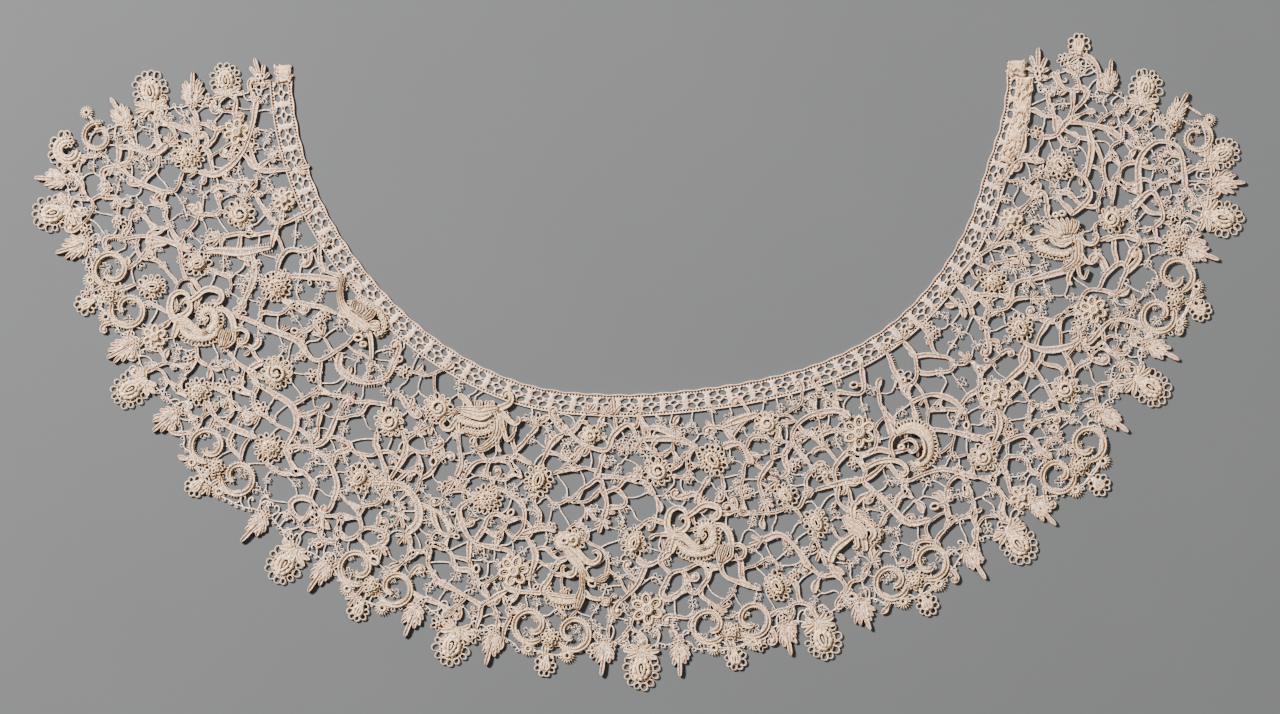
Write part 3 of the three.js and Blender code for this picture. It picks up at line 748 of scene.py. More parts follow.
BOUGHS = [
    # turn and reach of a few points along each main stem
    ((-1, 242.5), (-0.3, 235), (0.8, 230), (2.6, 234), (3.8, 239), (3.9, 247)),
    ((-1, 248), (-0.4, 253), (0.8, 257), (2.2, 258)), ((4, 243), (6.4, 243.5), (8.3, 242)),
    ((17.8, 215), (15.3, 218), (14.6, 226), (14.3, 234)), ((15.2, 218), (12.5, 219), (10.5, 218)),
    ((14.6, 250), (15.3, 259), (17.4, 264), (21, 255)),
    ((11, 229), (10.4, 236.5), (8.4, 241), (7, 249)), ((6, 230), (8, 234), (10, 236.5)),
    ((8.3, 242), (8.2, 253), (8.5, 266), (9.6, 276)), ((8.2, 253), (11, 258), (15, 259)),
    ((15.2, 291), (11.6, 286.5), (9.4, 292), (8.9, 300), (9.6, 309), (13.2, 316)),
    ((17, 290), (14.6, 298), (16.9, 308), (18.3, 305)), ((21.6, 281), (20.4, 290), (20.2, 301)),
    ((24.6, 276), (26.5, 269), (29.4, 255), (31.6, 245), (34, 249)),
    ((34.6, 216), (30.5, 219.5), (27, 230), (27.6, 239)), ((20.8, 231), (24, 226), (28.4, 223)),
    ((36.2, 218), (37.1, 227), (38.6, 236)), ((37.1, 227.5), (35.4, 233), (34.2, 241)),
    ((36.8, 255), (37.3, 268), (36.2, 283), (33.6, 294), (32.3, 291)),
    ((37.4, 272), (39, 277), (42.8, 275)), ((38.8, 278), (39.4, 291), (40.6, 307)),
    ((32, 301), (29.6, 304), (28.6, 314), (28.6, 322)),
    ((53, 247), (50.2, 251), (48.6, 262), (48.6, 273)),
    ((53.6, 252), (53.6, 263), (51.2, 275), (49.2, 289)), ((45.2, 280), (46.4, 290), (48.6, 296)),
    ((47.6, 299), (45.2, 305), (45.2, 317), (44.8, 331)),
    ((60.6, 264), (59.8, 270), (59.6, 279), (58.8, 284), (57.2, 285), (54.6, 290), (52.2, 305)),
    ((56.6, 240), (57.2, 250), (57.6, 257)), ((61, 238), (62.4, 228), (67, 224), (70, 232), (69, 250)),
    ((69.4, 265), (66, 267), (63, 271), (59.8, 268)), ((66.6, 268), (67.4, 276), (66.4, 286)),
    ((63.4, 273), (62.2, 290), (61.2, 305), (58.8, 310)), ((73.6, 241), (76, 250), (76, 261)),
    ((77.2, 284), (75, 284), (73.6, 296), (73, 307)), ((80.4, 227), (77.4, 227), (76.4, 240)),
    ((79.6, 215), (76.5, 213), (73.4, 213)), ((82.4, 242), (84.2, 252), (84.6, 258)),
    ((82.6, 290), (82.2, 301), (79.6, 309)), ((83.4, 228), (86, 219.5), (92, 219)),
    ((86.4, 219), (88.8, 213), (92.2, 212)),
    ((92.8, 217), (94.2, 210.5), (96.4, 218), (97.2, 227), (101, 225), (104.2, 217)),
    ((97.4, 229), (98, 244)), ((97.2, 248), (96.2, 257), (96.4, 266)),
    ((103.8, 222), (105, 228), (105.6, 238)), ((109, 264), (106.6, 268), (105.8, 280), (106.6, 290)),
    ((105.8, 284), (103.4, 278), (100.4, 280)), ((105.2, 285), (103.6, 294), (103.6, 306)),
    ((92.4, 286), (90.8, 292), (88, 284)), ((91, 292), (92, 304), (93.6, 313)),
    ((89, 284), (89.4, 290), (88.2, 297)), ((107, 308), (105.4, 317), (102, 315)),
    ((105.6, 318), (107.6, 330)), ((113, 277), (113.6, 284), (111, 297), (107.4, 296)),
    ((111.2, 297), (110.4, 310)), ((125, 257), (122.6, 268), (122.4, 286)), ((126.2, 274), (123, 285)),
    ((124.1, 295), (121, 286), (118.4, 290), (117.2, 300), (117.8, 309)),
    ((133.8, 312), (132.6, 303), (129.6, 299), (127, 306), (126.2, 316)),
    ((117.2, 249), (115.8, 258), (115.6, 267)), ((114.6, 263), (114, 254), (111.4, 248)),
    ((112.6, 326), (110, 328), (107.6, 331)), ((144.4, 219), (147, 230), (149.6, 245)),
    ((155.2, 258), (152, 263), (149.4, 278)),
    ((147, 277), (145.2, 272), (142, 263), (138.6, 262), (137.6, 245)),
    ((137.2, 248), (135.8, 255), (132.6, 252), (130.4, 241), (131.2, 227)),
    ((154.6, 299), (152.6, 299), (151.8, 301)), ((145.8, 299), (144, 298), (141.8, 293.5)),
    ((141.6, 298), (139, 293), (136.4, 290), (134.6, 296), (133.8, 309)),
    ((132.4, 302), (131, 292), (132.3, 271)), ((143, 326), (140.4, 327), (136.4, 317)),
    ((157.3, 289), (156.8, 278), (155.3, 264), (154.2, 247)),
    ((161.6, 325), (161.1, 312), (159.5, 299), (157.8, 291)),
    ((158.8, 322), (159.9, 311), (159.6, 302)), ((163, 298), (160, 296), (158.8, 292)),
    ((169.4, 317), (167.4, 310), (165.4, 297), (164.9, 289)),
    ((166.4, 272), (165.6, 261), (167.4, 246), (170.6, 237), (174.4, 232)),
    ((168.2, 240), (164.9, 238), (163.9, 226), (163.5, 218)),
    ((167.6, 327), (169, 326), (169.1, 312), (170.6, 308), (171, 315)),
    ((171, 309), (169.6, 296), (170.4, 287)), ((160.2, 243), (156.8, 238), (156.6, 222)),
    ((156.8, 238), (154.2, 247)), ((150.2, 224), (148, 227), (145.6, 220)),
    ((163.6, 268), (164, 262), (162.4, 254)),
]
COMBED_BOUGHS = (34, 35, 56, 64, 70, 78)  # the numbers of those that have picots along both edges


# The network of stems and bars ---------------------------------------------------------------


def inside(points, outline):
    """Even-odd rule: a point is inside where a level line from it crosses the outline an odd number
    of times."""
    x, y = points[:, :1], points[:, 1:]
    start, end = outline, np.roll(outline, -1, 0)
    crosses = (start[:, 1] > y) != (end[:, 1] > y)
    slope = (end[:, 0] - start[:, 0]) / (end[:, 1] - start[:, 1] + 1e-12)
    return (crosses & (x < start[:, 0] + (y - start[:, 1]) * slope)).sum(1) % 2 == 1


def through(points, steps=7):
    """A smooth path through points: Catmull-Rom pieces."""
    ends = np.concatenate([2 * points[:1] - points[1:2], points, 2 * points[-1:] - points[-2:-1]])
    share = np.linspace(0, 1, steps, endpoint=False)[:, None]
    before, start, end, after = (ends[i:len(ends) - 3 + i, None] for i in range(4))
    bends = (2 * start + (end - before) * share + (2 * before - 5 * start + 4 * end - after) * share ** 2
             + (3 * start - before - 3 * end + after) * share ** 3) / 2
    return np.concatenate([bends.reshape(-1, 2), points[-1:]])


RING_HALF = 0.8  # mm, half the width of the strand that makes a ring


def strand_line(strand):
    """The path of a raised motif's strand about the motif's middle, and its half width at each row."""
    kind, halves, _, *points = strand
    if kind == "room":
        return np.array(points, float), np.array(halves)
    if kind == "ring":
        path = oval(*halves, 16, points[0])
        return path, np.full(len(path), RING_HALF)
    path = resampled(through(np.array(points, float), 8), 0.9)
    rows = len(path)
    half = np.interp(np.linspace(0, 1, rows), np.linspace(0, 1, len(halves)), halves)
    return path, half * rounded(rows, 1.2 / rows, 1.8 / rows, 0.4)


def lobe_frames():
    """For each lobe: its crown, its outward unit vector and its sideways one."""
    turns, reaches = np.array(LOBES).T
    out = unit(-turns)
    return place(turns, reaches), out, leftward(out)


def keep_out():
    """Round spaces that the motifs fill, as x, y, radius: the network of stems stops at them."""
    discs = [(*place(turn, reach), radius) for turn, reach, radius, _ in ROSETTES]
    for _, turn, reach, strands in RAISED_MOTIFS:
        for strand in strands:
            path, half = strand_line(strand)
            spots, half = path[::2] + place(turn, reach), half[::2] + 2.4 * (strand[0] == "frill")
            discs += [(x, y, wide) for (x, y), wide in zip(spots, half)]
    crown, out, side = lobe_frames()
    for hand in (1, -1):
        middle = crown + out * SCROLL_AT[0] + side * SCROLL_AT[1] * hand
        discs += [(x, y, SCROLL_REACH) for x, y in middle]
    discs += [(x, y, 4.5) for x, y in crown - out * 8]
    discs += [(*place(turn, reach), SCROLL_REACH * size) for turn, reach, _, size, _ in END_SCROLLS]
    return np.array(discs)


DISCS = keep_out()
BORDER_STEP = 1.2  # mm
RIM_CURVE = resampled(through(RIM), BORDER_STEP)
BORDER = np.concatenate([resampled(NECK_SEAM, BORDER_STEP), RIM_CURVE])


def bough_path(row):
    """A main stem's smooth path, with a point every mm."""
    turns, reaches = np.array(row, float).T
    return resampled(through(place(turns, reaches), 12), 1.0)


BOUGH_PATHS = [bough_path(row) for row in BOUGHS]
BOUGH_PATHS += [strand_line(strand)[0] + place(turn, reach) for _, turn, reach, strands in RAISED_MOTIFS
                for strand in strands if strand[0] not in ("ring", "room")]
HOLE_STEP = 11.0  # mm from one hole beside a main stem to the next


def all_but(paths, number):
    """The points of every path but one."""
    return np.concatenate(paths[:number] + paths[number + 1:])


def beside_boughs():
    """Pairs of points on both sides of every main stem, so that a bar runs along it between them.
    A pair is left out where another stem or pair is too near."""
    kept = []
    for number, path in enumerate(BOUGH_PATHS):
        even = resampled(path, HOLE_STEP)
        side = sides_of(even) * HOLE_STEP / 2
        others = all_but(BOUGH_PATHS, number)
        for pair in np.stack([even + side, even - side], 1):
            away = distances(pair, others).min()
            crowd = distances(pair, np.array(kept)).min() if kept else np.inf
            if away > 3.4 and crowd > 5.5 and inside(pair, OUTLINE).all():
                kept += list(pair)
    return np.array(kept)


CLOTH_POINTS = 46000  # random points that stand for the cloth while the holes are spread over it
RIM_DEEP, NECK_DEEP = 18, 28  # mm from the rim, and from the neck on the right half, with smaller holes


def scattered(rng, fixed, count, rounds):
    """Points spread evenly over the ground between the fixed ones: random ones, each moved again
    and again to the middle of the cloth that is nearest to it."""
    cloth = rng.uniform(OUTLINE.min(0), OUTLINE.max(0), (CLOTH_POINTS, 2))
    cloth = cloth[inside(cloth, OUTLINE)]
    parts = np.array_split(cloth, 8)
    from_rim, from_neck = (np.concatenate([distances(part, edge).min(1) for part in parts])
                           for edge in (RIM_CURVE[::2], NECK_SEAM[::4]))
    dense = np.where((from_neck < NECK_DEEP) & (cloth[:, 0] > 0), 0.8, 0.46) + 0.54 * (from_rim < RIM_DEEP)
    cloth = cloth[rng.random(len(cloth)) < dense]
    points = np.concatenate([fixed, cloth[:count]])
    for _ in range(rounds):
        far = (cloth ** 2).sum(1)[:, None] - 2 * cloth @ points.T + (points ** 2).sum(1)
        nearest = far.argmin(1)
        shares = np.maximum(np.bincount(nearest, minlength=len(points)), 1)[:, None]
        sums = np.stack([np.bincount(nearest, cloth[:, axis], len(points)) for axis in (0, 1)], -1)
        points = np.concatenate([fixed, (sums / shares)[len(fixed):]])
    return points


def mirrored_over(points, outline, within):
    """Points near the outline reflected to its other side, so that a bar runs along it."""
    edge = resampled(np.concatenate([outline, outline[:1]]), 1.5)
    gap = distances(points, edge)
    near = gap.min(1) < within
    return 2 * edge[gap.argmin(1)][near] - points[near]


STEM_CHANCES = {1: 0.1, 2: 0.4}  # the chance that a strand of so many bars is a stem
LONG_STEM_CHANCE = 0.74  # the same for any longer one


class Network:
    """Holes of even size: knots and the bars between them, some joined into long stems."""

    def __init__(self, rng, count):
        fixed = beside_boughs()
        self.sites = scattered(rng, fixed, count - len(fixed), rounds=6)
        ghosts = mirrored_over(self.sites, OUTLINE, 26)
        every = [Vector(point) for point in np.concatenate([self.sites, ghosts])]
        corners, _, faces, origin, _, _ = delaunay_2d_cdt(every, [], [], 0, 1e-6)
        spots = np.array([tuple(corner) for corner in corners])
        real = [bool(found) and found[0] < len(self.sites) for found in origin]
        self.knots = self.middles(*spots[np.array(faces).T])
        self.cells = defaultdict(list)
        shared = defaultdict(list)
        for number, face in enumerate(faces):
            for first, second in zip(face, [*face[1:], face[0]]):
                shared[min(first, second), max(first, second)].append(number)
                if real[first]:
                    self.cells[origin[first][0]].append(number)
        self.on_bough = self.drawn_to_boughs(3.2)
        pairs = [(pair, real[edge[0]] + real[edge[1]]) for edge, pair in shared.items() if len(pair) == 2]
        self.bars = [pair for pair, kinds in pairs if kinds == 2 and not self.along_bough(*pair)]
        ends = np.unique([pair for pair, kinds in pairs if kinds == 1])
        self.knots[ends] = BORDER[distances(self.knots[ends], BORDER).argmin(1)]
        self.stems, self.links = self.sort_strands(rng)
        self.ease_stems()

    @staticmethod
    def middles(a, b, c):
        """The centre of the circle through each triangle's corners, drawn a little to its middle."""
        ab, ac = b - a, c - a
        twice = 2 * (ab[:, 0] * ac[:, 1] - ab[:, 1] * ac[:, 0])
        twice = np.where(np.abs(twice) < 1e-6, 1e-6, twice)
        ab2, ac2 = ((way ** 2).sum(1)[:, None] for way in (ab, ac))
        offset = leftward(ab * ac2 - ac * ab2)
        centre, mean = a + offset / twice[:, None], (a + b + c) / 3
        wild = np.linalg.norm(centre - mean, axis=1) > 9
        return np.where(wild[:, None], mean, 0.8 * centre + 0.2 * mean)

    def drawn_to_boughs(self, within):
        """Moves knots that lie near a main stem onto it, and says which stem each is on, or -1."""
        found = np.full(len(self.knots), -1)
        best = np.full(len(self.knots), within)
        moved = self.knots.copy()
        for number, path in enumerate(BOUGH_PATHS):
            gap = distances(self.knots, path)
            nearest, near = gap.argmin(1), gap.min(1) < best
            moved[near], found[near] = path[nearest[near]], number
            best[near] = gap.min(1)[near]
        self.knots = moved
        return found

    def along_bough(self, start, end):
        """Whether a bar lies along one main stem."""
        return self.on_bough[start] >= 0 and self.on_bough[start] == self.on_bough[end]

    def sort_strands(self, rng):
        """At each knot the two bars that run on most nearly straight are one strand. Long strands
        become stems, the rest stay thin links."""
        at_knot = defaultdict(list)
        for number, (start, end) in enumerate(self.bars):
            at_knot[start].append((number, end))
            at_knot[end].append((number, start))
        onward = {}
        for knot, bars in at_knot.items():
            if len(bars) < 2:
                continue
            away = np.array([self.knots[other] - self.knots[knot] for _, other in bars])
            away /= np.linalg.norm(away, axis=1, keepdims=True) + 1e-9
            turned = away @ away.T + np.eye(len(bars)) * 9
            one, two = np.unravel_index(turned.argmin(), turned.shape)
            if turned[one, two] < -0.1:
                onward[bars[one][0], knot] = bars[two]
                onward[bars[two][0], knot] = bars[one]
        stems, links, used = [], [], set()
        for number, (start, end) in enumerate(self.bars):
            if number in used:
                continue
            used.add(number)
            chain = [start, end]
            for grow in (1, -1):
                bar, knot = number, chain[-1] if grow == 1 else chain[0]
                while (bar, knot) in onward and onward[bar, knot][0] not in used:
                    bar, knot = onward[bar, knot]
                    used.add(bar)
                    chain = chain + [knot] if grow == 1 else [knot] + chain
            while len(chain) > 1:
                length = int(rng.integers(4, 8))
                part, chain = chain[:length + 1], chain[length:]
                if rng.random() < STEM_CHANCES.get(len(part) - 1, LONG_STEM_CHANCE):
                    stems.append(part)
                else:
                    links += list(zip(part[:-1], part[1:]))
        return stems, links

    def ease_stems(self):
        """Knots inside a stem move towards the middle of their neighbours, to make it flow."""
        inner = np.array([three for stem in self.stems for three in zip(stem, stem[1:], stem[2:])])
        before, knot, after = inner[self.on_bough[inner[:, 1]] < 0].T
        for _ in range(3):
            middle = (self.knots[before] + self.knots[after]) / 2
            self.knots[knot] += 0.33 * (middle - self.knots[knot])

    def neighbours(self):
        """For each knot on a stem, the knots next to it along stems."""
        found = defaultdict(set)
        for stem in self.stems:
            for start, end in zip(stem[:-1], stem[1:]):
                found[start].add(end)
                found[end].add(start)
        return found


def room(points):
    """How far points lie outside each of the motifs' discs: ... x discs, below 0 inside one."""
    return distances(points, DISCS[:, :2]) - DISCS[:, 2]


UNDER_MOTIF, OVER_EDGE = 0.8, 4.0  # mm that a stem runs on under a motif, and over the ground's edge


def clear_runs(path):
    """The parts of a path outside the motifs' discs and inside the ground, or little beyond."""
    near_edge = distances(path, BORDER).min(1) < OVER_EDGE
    open_air = (room(path) > -UNDER_MOTIF).all(1) & (inside(path, OUTLINE) | near_edge)
    starts = np.flatnonzero(open_air & ~np.concatenate([[False], open_air[:-1]]))
    ends = np.flatnonzero(open_air & ~np.concatenate([open_air[1:], [False]])) + 1
    return [path[start:end] for start, end in zip(starts, ends) if end - start > 2]


def stem_path(net, stem, near):
    """A stem's path; an end that meets another stem runs on along it, as a branch does."""
    chain = list(net.knots[stem])
    for end, inner, slot in ((stem[-1], stem[-2], len(chain)), (stem[0], stem[1], 0)):
        others = [knot for knot in near[end] if knot != inner]
        if others:
            came = net.knots[end] - net.knots[inner]
            ways = np.array([net.knots[knot] - net.knots[end] for knot in others])
            best = ways[(ways @ came).argmax()]
            chain.insert(slot, net.knots[end] + best * 0.45)
    return through(np.array(chain))


net = Network(np.random.default_rng(SEED), count=930)


# Motifs, drawn from their root at the origin out along +X ------------------------------------


class Sprig:
    """A motif's own drawing board: it lays strands on a skein, moved to the motif's place."""

    def __init__(self, skein, spot, heading=0.0, size=1.0, tone=0.3, level=0.0, flip=1):
        self.skein, self.spot, self.heading, self.size = skein, spot, heading, size
        self.tone, self.level, self.flip = tone, level, flip

    def to_world(self, path):
        """Flat paths of copies x rows x 2, in their place on the collar."""
        return turned_by(copies_of(path) * self.size * [1, self.flip], self.heading) + self.spot

    def thread(self, path, radius, level, sides=4, loop=False, tone=None):
        """A round thread; its radius and level don't grow with the motif."""
        tone = self.tone if tone is None else tone
        thread(self.skein, self.to_world(path), radius, level + self.level, sides, loop, tone)

    def loops(self, long, wide, rows, spots, ways, sizes, radius, level, tone=None, sides=4):
        """Open loops of thread: an oval at each spot, turned and sized."""
        self.thread(spread(oval(long, wide, rows), spots, ways, sizes), radius, level, sides, True, tone)

    def ribbon(self, path, half, height, level=0.0, section=CORDED, loop=False, tone=None):
        """A corded or padded ribbon, whose width grows with the motif."""
        tone = self.tone if tone is None else tone
        size = np.asarray(half) * self.size
        ribbon(self.skein, self.to_world(path), size, height, level + self.level, section, loop, tone)

    def ring(self, path, half, height, level=0.1, warmer=0.0):
        """A padded strand that closes on itself."""
        self.ribbon(path, half, height, level, PADDED, True, self.tone + warmer)

    def teeth(self, path, half, hand, spacing=1.45, length=1.2, level=0.6):
        """Picots along one edge of one path."""
        teeth(self.skein, self.to_world(path)[0], half * self.size, hand * self.flip, spacing, length,
              level + self.level, self.tone)


def fingers(sprig, roots, headings, lengths, half, bend=0.0, rows=9, height=1.3, level=0.1, point=0.2):
    """Fingers with corded edges, side by side: each a ribbon that rounds off over the last share,
    point, of its length, the sharper the more that share is."""
    roots = np.atleast_2d(roots)
    shapes = bent(lengths, np.broadcast_to(bend, len(roots)), 0.0, rows, crowd=2.0)
    paths = np.concatenate([spread(*finger) for finger in zip(shapes, roots, headings)])
    share = crowded(rows, 2.0)
    full = rounded(share, 0.0, point, 0.3) * (0.8 + 0.25 * share)
    sprig.ribbon(paths, np.asarray(half).reshape(-1, 1) * full, height * (0.6 + 0.4 * full), level)


def ring_of(count, far, start=0.0, centre=(0.0, 0.0), wide=None):
    """Points and their directions, in degrees, evenly spaced round an ellipse."""
    angles = start + np.arange(count) * 360 / count
    return unit(angles) * [far, far if wide is None else wide] + centre, angles


def ribs(sprig, spans, line, half, height, level):
    """Padded strands side by side: line gives the middle one's x and its half spread y at even
    rows, and spans the share of that spread at which each strand runs."""
    paths = np.stack([np.stack([line[:, 0], line[:, 1] * span], -1) for span in spans])
    sprig.ribbon(paths, half * rounded(len(line), 0.12, 0.15, 0.4), height, level, PADDED)


def lumpy(radius_x, radius_y, lumps, depth, phase=0.0):
    """An ellipse with its swelling at each row, four rows to a lump, for a stitched ring."""
    rows = lumps * 4
    swelling = 1 + depth * np.cos(np.arange(rows) * np.pi / 2)
    return oval(radius_x, radius_y, rows, (0, 0), 3, 0.04, phase), swelling


def palmette(sprig, rng):
    """A looped flower: a stitched oval ring round a slotted eye, bars from it to a thin ring, big
    uneven loops outside and two leafy sepals at its foot."""
    eye = (12.4, 0.0)
    line = through(np.array([(0.6, 1.0), (3.5, 1.9), (6.5, 2.7), (9.0, 3.0)]), 3)
    ribs(sprig, [-0.9, -0.32, 0.32, 0.9], line, 0.8, 1.4, 0.3)
    path, swelling = lumpy(5.3, 4.1, 10, 0.18, rng.uniform(0, 6))
    sprig.ring(path + eye, 1.35 * swelling, 1.6 * swelling, 0.6, 0.1)
    drop = oval(4.2, 1.9, 18)
    sprig.ring(drop * (1 - 0.09 * drop[:, :1] * [0, 1]) + eye, 0.85, 1.5, 1.3, 0.3)
    slot = bent(rng.uniform(3.5, 5.0), 10, rng.uniform(-60, 60), 8) + eye - [2.4, 0]
    sprig.ribbon(slot, 0.6 * rounded(8, 0.2, 0.2), 1.2, 1.9, PADDED, tone=sprig.tone + 0.3)
    sprig.teeth(np.concatenate([path, path[:2]]) + eye, 1.2, -1, spacing=1.7, length=1.3, level=1.0)
    rounds = np.arange(12) * 26.4 - 145 + rng.uniform(-5, 5, 12)
    away = unit(rounds)
    inner, outer = eye + away * [5.8, 4.6], eye + away * [8.4, 7.0]
    sprig.thread(np.stack([inner, (inner + outer) / 2, outer], 1), 0.38, 0.8)
    sprig.thread(oval(8.0, 6.8, 36, eye, 5, 0.05, rng.uniform(0, 6)), 0.36, 0.8, loop=True)
    spots = eye + away * [9.8, 8.6] * rng.uniform(0.95, 1.04, (12, 1))
    ways = rounds + rng.uniform(-16, 16, 12)
    sprig.loops(2.2, 1.9, 10, spots, ways, rng.uniform(0.75, 1.2, 12), 0.35, 0.8)
    for hand in (1, -1):
        long = np.array([9.0, 8.2, 5.6]) * rng.uniform(0.85, 1.1, 3)
        roots = np.array([(2.2, 1.6), (1.8, 1.8), (1.2, 1.6)]) * [1, hand]
        ways = [hand * 48, hand * 78, hand * 112]
        fingers(sprig, roots, ways, long, 1.45, bend=hand * 34, level=0.4, point=0.3)


def shell(sprig, rng):
    """A padded crescent of three ridges round a hollow, with loops outside it and a small frill in
    its mouth."""
    eye = (12.0, 0.0)
    for radius, half, level, start, end in ((7.6, 1.35, 0.2, -64, 205), (5.4, 1.2, 0.8, -80, 222),
                                            (3.6, 0.9, 1.2, -50, 190)):
        path = unit(np.linspace(start, end, 30)) * [radius * 1.06, radius] + eye
        sprig.ribbon(path, half * rounded(30, 0.15, 0.15, 0.3), 1.6, level, PADDED)
    angles = np.linspace(-62, 172, 10) + rng.uniform(-5, 5, 10)
    sizes = rng.uniform(0.75, 1.15, 10)
    sprig.loops(2.4, 2.2, 10, eye + unit(angles) * 9.9, angles + rng.uniform(-14, 14, 10), sizes, 0.42, 0.9)
    spots, ways = ring_of(7, 2.6, 0, (14.6, -4.6))
    sprig.loops(1.4, 1.0, 8, spots, ways + rng.uniform(-20, 20, 7), 1.0, 0.4, 1.8, tone=0.8)
    sprig.ribbon(bent(5.5, 0, 60, 6), 1.3, 1.3, 0.2)


LEAF_FINGERS = [
    # distance of the root along the leaf and to its side, angle, length, half width
    (8.4, 0, 0, 12.6, 1.35), (3.6, 0.8, 11, 11, 1.45), (3, 1.2, 20, 9.2, 1.45),
    (2.4, 1.4, 32, 7.2, 1.4), (1.8, 1.5, 50, 4.8, 1.25),
]
HAND_FINGERS = [
    # the same columns, for a leaf whose fingers stand further apart
    (6.4, 0, 0, 13.8, 1.3), (4, 0.9, 10, 12.2, 1.3), (3.4, 1.5, 20, 10.6, 1.3),
    (2.6, 1.9, 33, 8.4, 1.3), (1.8, 2, 54, 5.6, 1.2),
]


def leaf(sprig, rng):
    """A broad leaf of fused fingers with a longer one in the middle, an eyelet in its ribbed heart
    and a small looped knot at the root."""
    table = LEAF_FINGERS if rng.random() < 0.65 else HAND_FINGERS
    for along, aside, angle, length, half in table:
        hands = np.array([1, -1] if angle else [1])
        roots = [(along, aside * hand) for hand in hands]
        headings = angle * hands + rng.uniform(-4, 4, len(hands))
        long = length * rng.uniform(0.86, 1.06, len(hands))
        fingers(sprig, roots, headings, long, half, bend=hands * 10 * bool(angle),
                level=0.15 + 0.35 * (angle == 0) + rng.uniform(0, 0.3), point=0.34)
    line = through(np.array([(1.0, 1.0), (4.0, 2.8), (7.0, 3.3), (10.0, 2.5), (12.6, 1.2)]), 3)
    ribs(sprig, [-0.95, -0.5, 0.5, 0.95], line, 0.8, 1.1, 0.45)
    sprig.thread(oval(1.3, 0.8, 10, (7.2, 0)), 0.38, 0.9, loop=True, tone=sprig.tone + 0.2)
    knot, way = ring_of(6, 2.0, rng.uniform(0, 60), (0.2, 0))
    sprig.loops(1.2, 0.85, 8, knot, way, rng.uniform(0.8, 1.2, 6), 0.38, 1.4, sprig.tone + 0.3)
    sprig.thread(oval(0.9, 0.9, 9, (0.2, 0)), 0.45, 1.6, loop=True, tone=sprig.tone + 0.3)


def crest(sprig, rng):
    """The leaf at each end of the neck: three upright fingers, the middle one longest, over a star of
    short points round open padded rings."""
    roots = [(9.2, 0.2), (8.6, 2.2), (8.4, -2.2)]
    fingers(sprig, roots, [0, 15, -17], [12.4, 8.4, 7.2], 1.55, bend=[0, 12, -12], level=0.4, point=0.34)
    roots, longs = [(6.0, 2.6), (6.0, -2.6), (3.4, 2.0), (3.2, -2.2)], [5.2, 5.0, 4.4, 4.0]
    fingers(sprig, roots, [58, -62, 96, -104], longs, 1.3, rows=7, level=0.2, point=0.34)
    for along, aside, far in ((8.2, 1.5, 1.7), (7.6, -1.7, 1.6), (4.6, 0.5, 1.9), (1.9, -0.3, 1.4)):
        sprig.ring(oval(far, far * 0.85, 12, (along, aside)), 0.85, 1.4, 0.35)


def floret(sprig, rng):
    """A ribbed heart in a ring of open loops, on a short stalk."""
    middle = (7.2, 0.0)
    angles = np.arange(8) * 42 - 147 + rng.uniform(-6, 6, 8)
    sprig.loops(2.0, 1.75, 10, middle + 4.5 * unit(angles), angles, rng.uniform(0.85, 1.1, 8), 0.4, 0.8)
    line = through(np.array([(1.0, 0.7), (4.0, 1.2), (6.5, 2.6), (8.6, 2.4), (9.8, 0.9)]), 3)
    ribs(sprig, [-0.9, -0.32, 0.32, 0.9], line, 0.75, 1.6, 0.3)
    sprig.thread(oval(3.4, 3.3, 20, middle, 8, 0.06), 0.36, 0.9, loop=True)


def rays(near, far, headings):
    """Straight threads of three rows that run from near to far along each heading."""
    line = np.stack([np.linspace(near, far, 3), np.zeros(3)], -1)
    return spread(line, np.zeros((len(headings), 2)), headings)


def sun(sprig, rng):
    """A small ring with rays all round."""
    sprig.thread(oval(1.8, 1.8, 16), 0.8, 0.9, 6, loop=True)
    sprig.thread(rays(2.3, 4.5, np.arange(16) * 360 / 16), np.array([0.46, 0.42, 0.28]), 0.8)


def collar_loops(sprig, radius, rng, long=2.1, wide=1.5, flat=1.0, thick=0.48):
    """Loops standing side by side round a flower, each a little different, over a thin ring."""
    count = int(radius * 1.4)
    spots, angles = ring_of(count, radius - long, rng.uniform(0, 30), wide=(radius - long) * flat)
    spots = spots * rng.uniform(0.84, 1.06, (count, 1))
    ways = angles + rng.uniform(-30, 30, count)
    level = rng.uniform(0.5, 1.3, (count, 1))
    sprig.loops(long, wide, 10, spots, ways, rng.uniform(0.7, 1.2, count), thick, level)
    sprig.thread(oval(radius - 2 * long, (radius - 2 * long) * flat, 26), 0.45, 0.8, loop=True)


def spiral(far, near, start, sweep, rows, fall):
    """A spiral round the origin: its reach falls from far to near as its angle sweeps."""
    share = np.linspace(0, 1, rows)
    reach = far + (near - far) * share ** fall
    return reach[:, None] * unit(start + sweep * share)


def rosette_round(sprig, radius, rng):
    """A stitched cord wound up in a swirl round a small knot, in a collar of open loops."""
    collar_loops(sprig, radius, rng)
    sprig.ring(oval(radius * 0.08, radius * 0.06, 8), radius * 0.07, 1.5, 0.9, 0.2)
    path = spiral(radius * 0.52, radius * 0.14, rng.uniform(0, 360), 560, 46, 1.2)
    beads = 1 + 0.17 * np.cos(np.arange(46) * np.pi * 0.62)
    sprig.ribbon(path, 0.95 * rounded(46, 0.03, 0.03) * beads, 1.5, np.linspace(0.8, 1.9, 46)[None], PADDED)
    spots, angles = ring_of(int(radius * 1.1), radius * 0.6, rng.uniform(0, 40))
    ways = angles + rng.uniform(-30, 30, len(angles))
    sprig.loops(1.5, 1.0, 8, spots, ways, rng.uniform(0.8, 1.2, len(angles)), 0.42, 1.2, sprig.tone + 0.1)
    for part, length in ((path[:30], 1.3), (path[24:], 0.8)):
        sprig.teeth(part, 0.7, -1, spacing=1.35, length=length, level=1.4)
    sprig.thread(rays(radius * 0.42, radius * 0.7, rng.uniform(0, 360, 7)), 0.36, 0.8, 3)


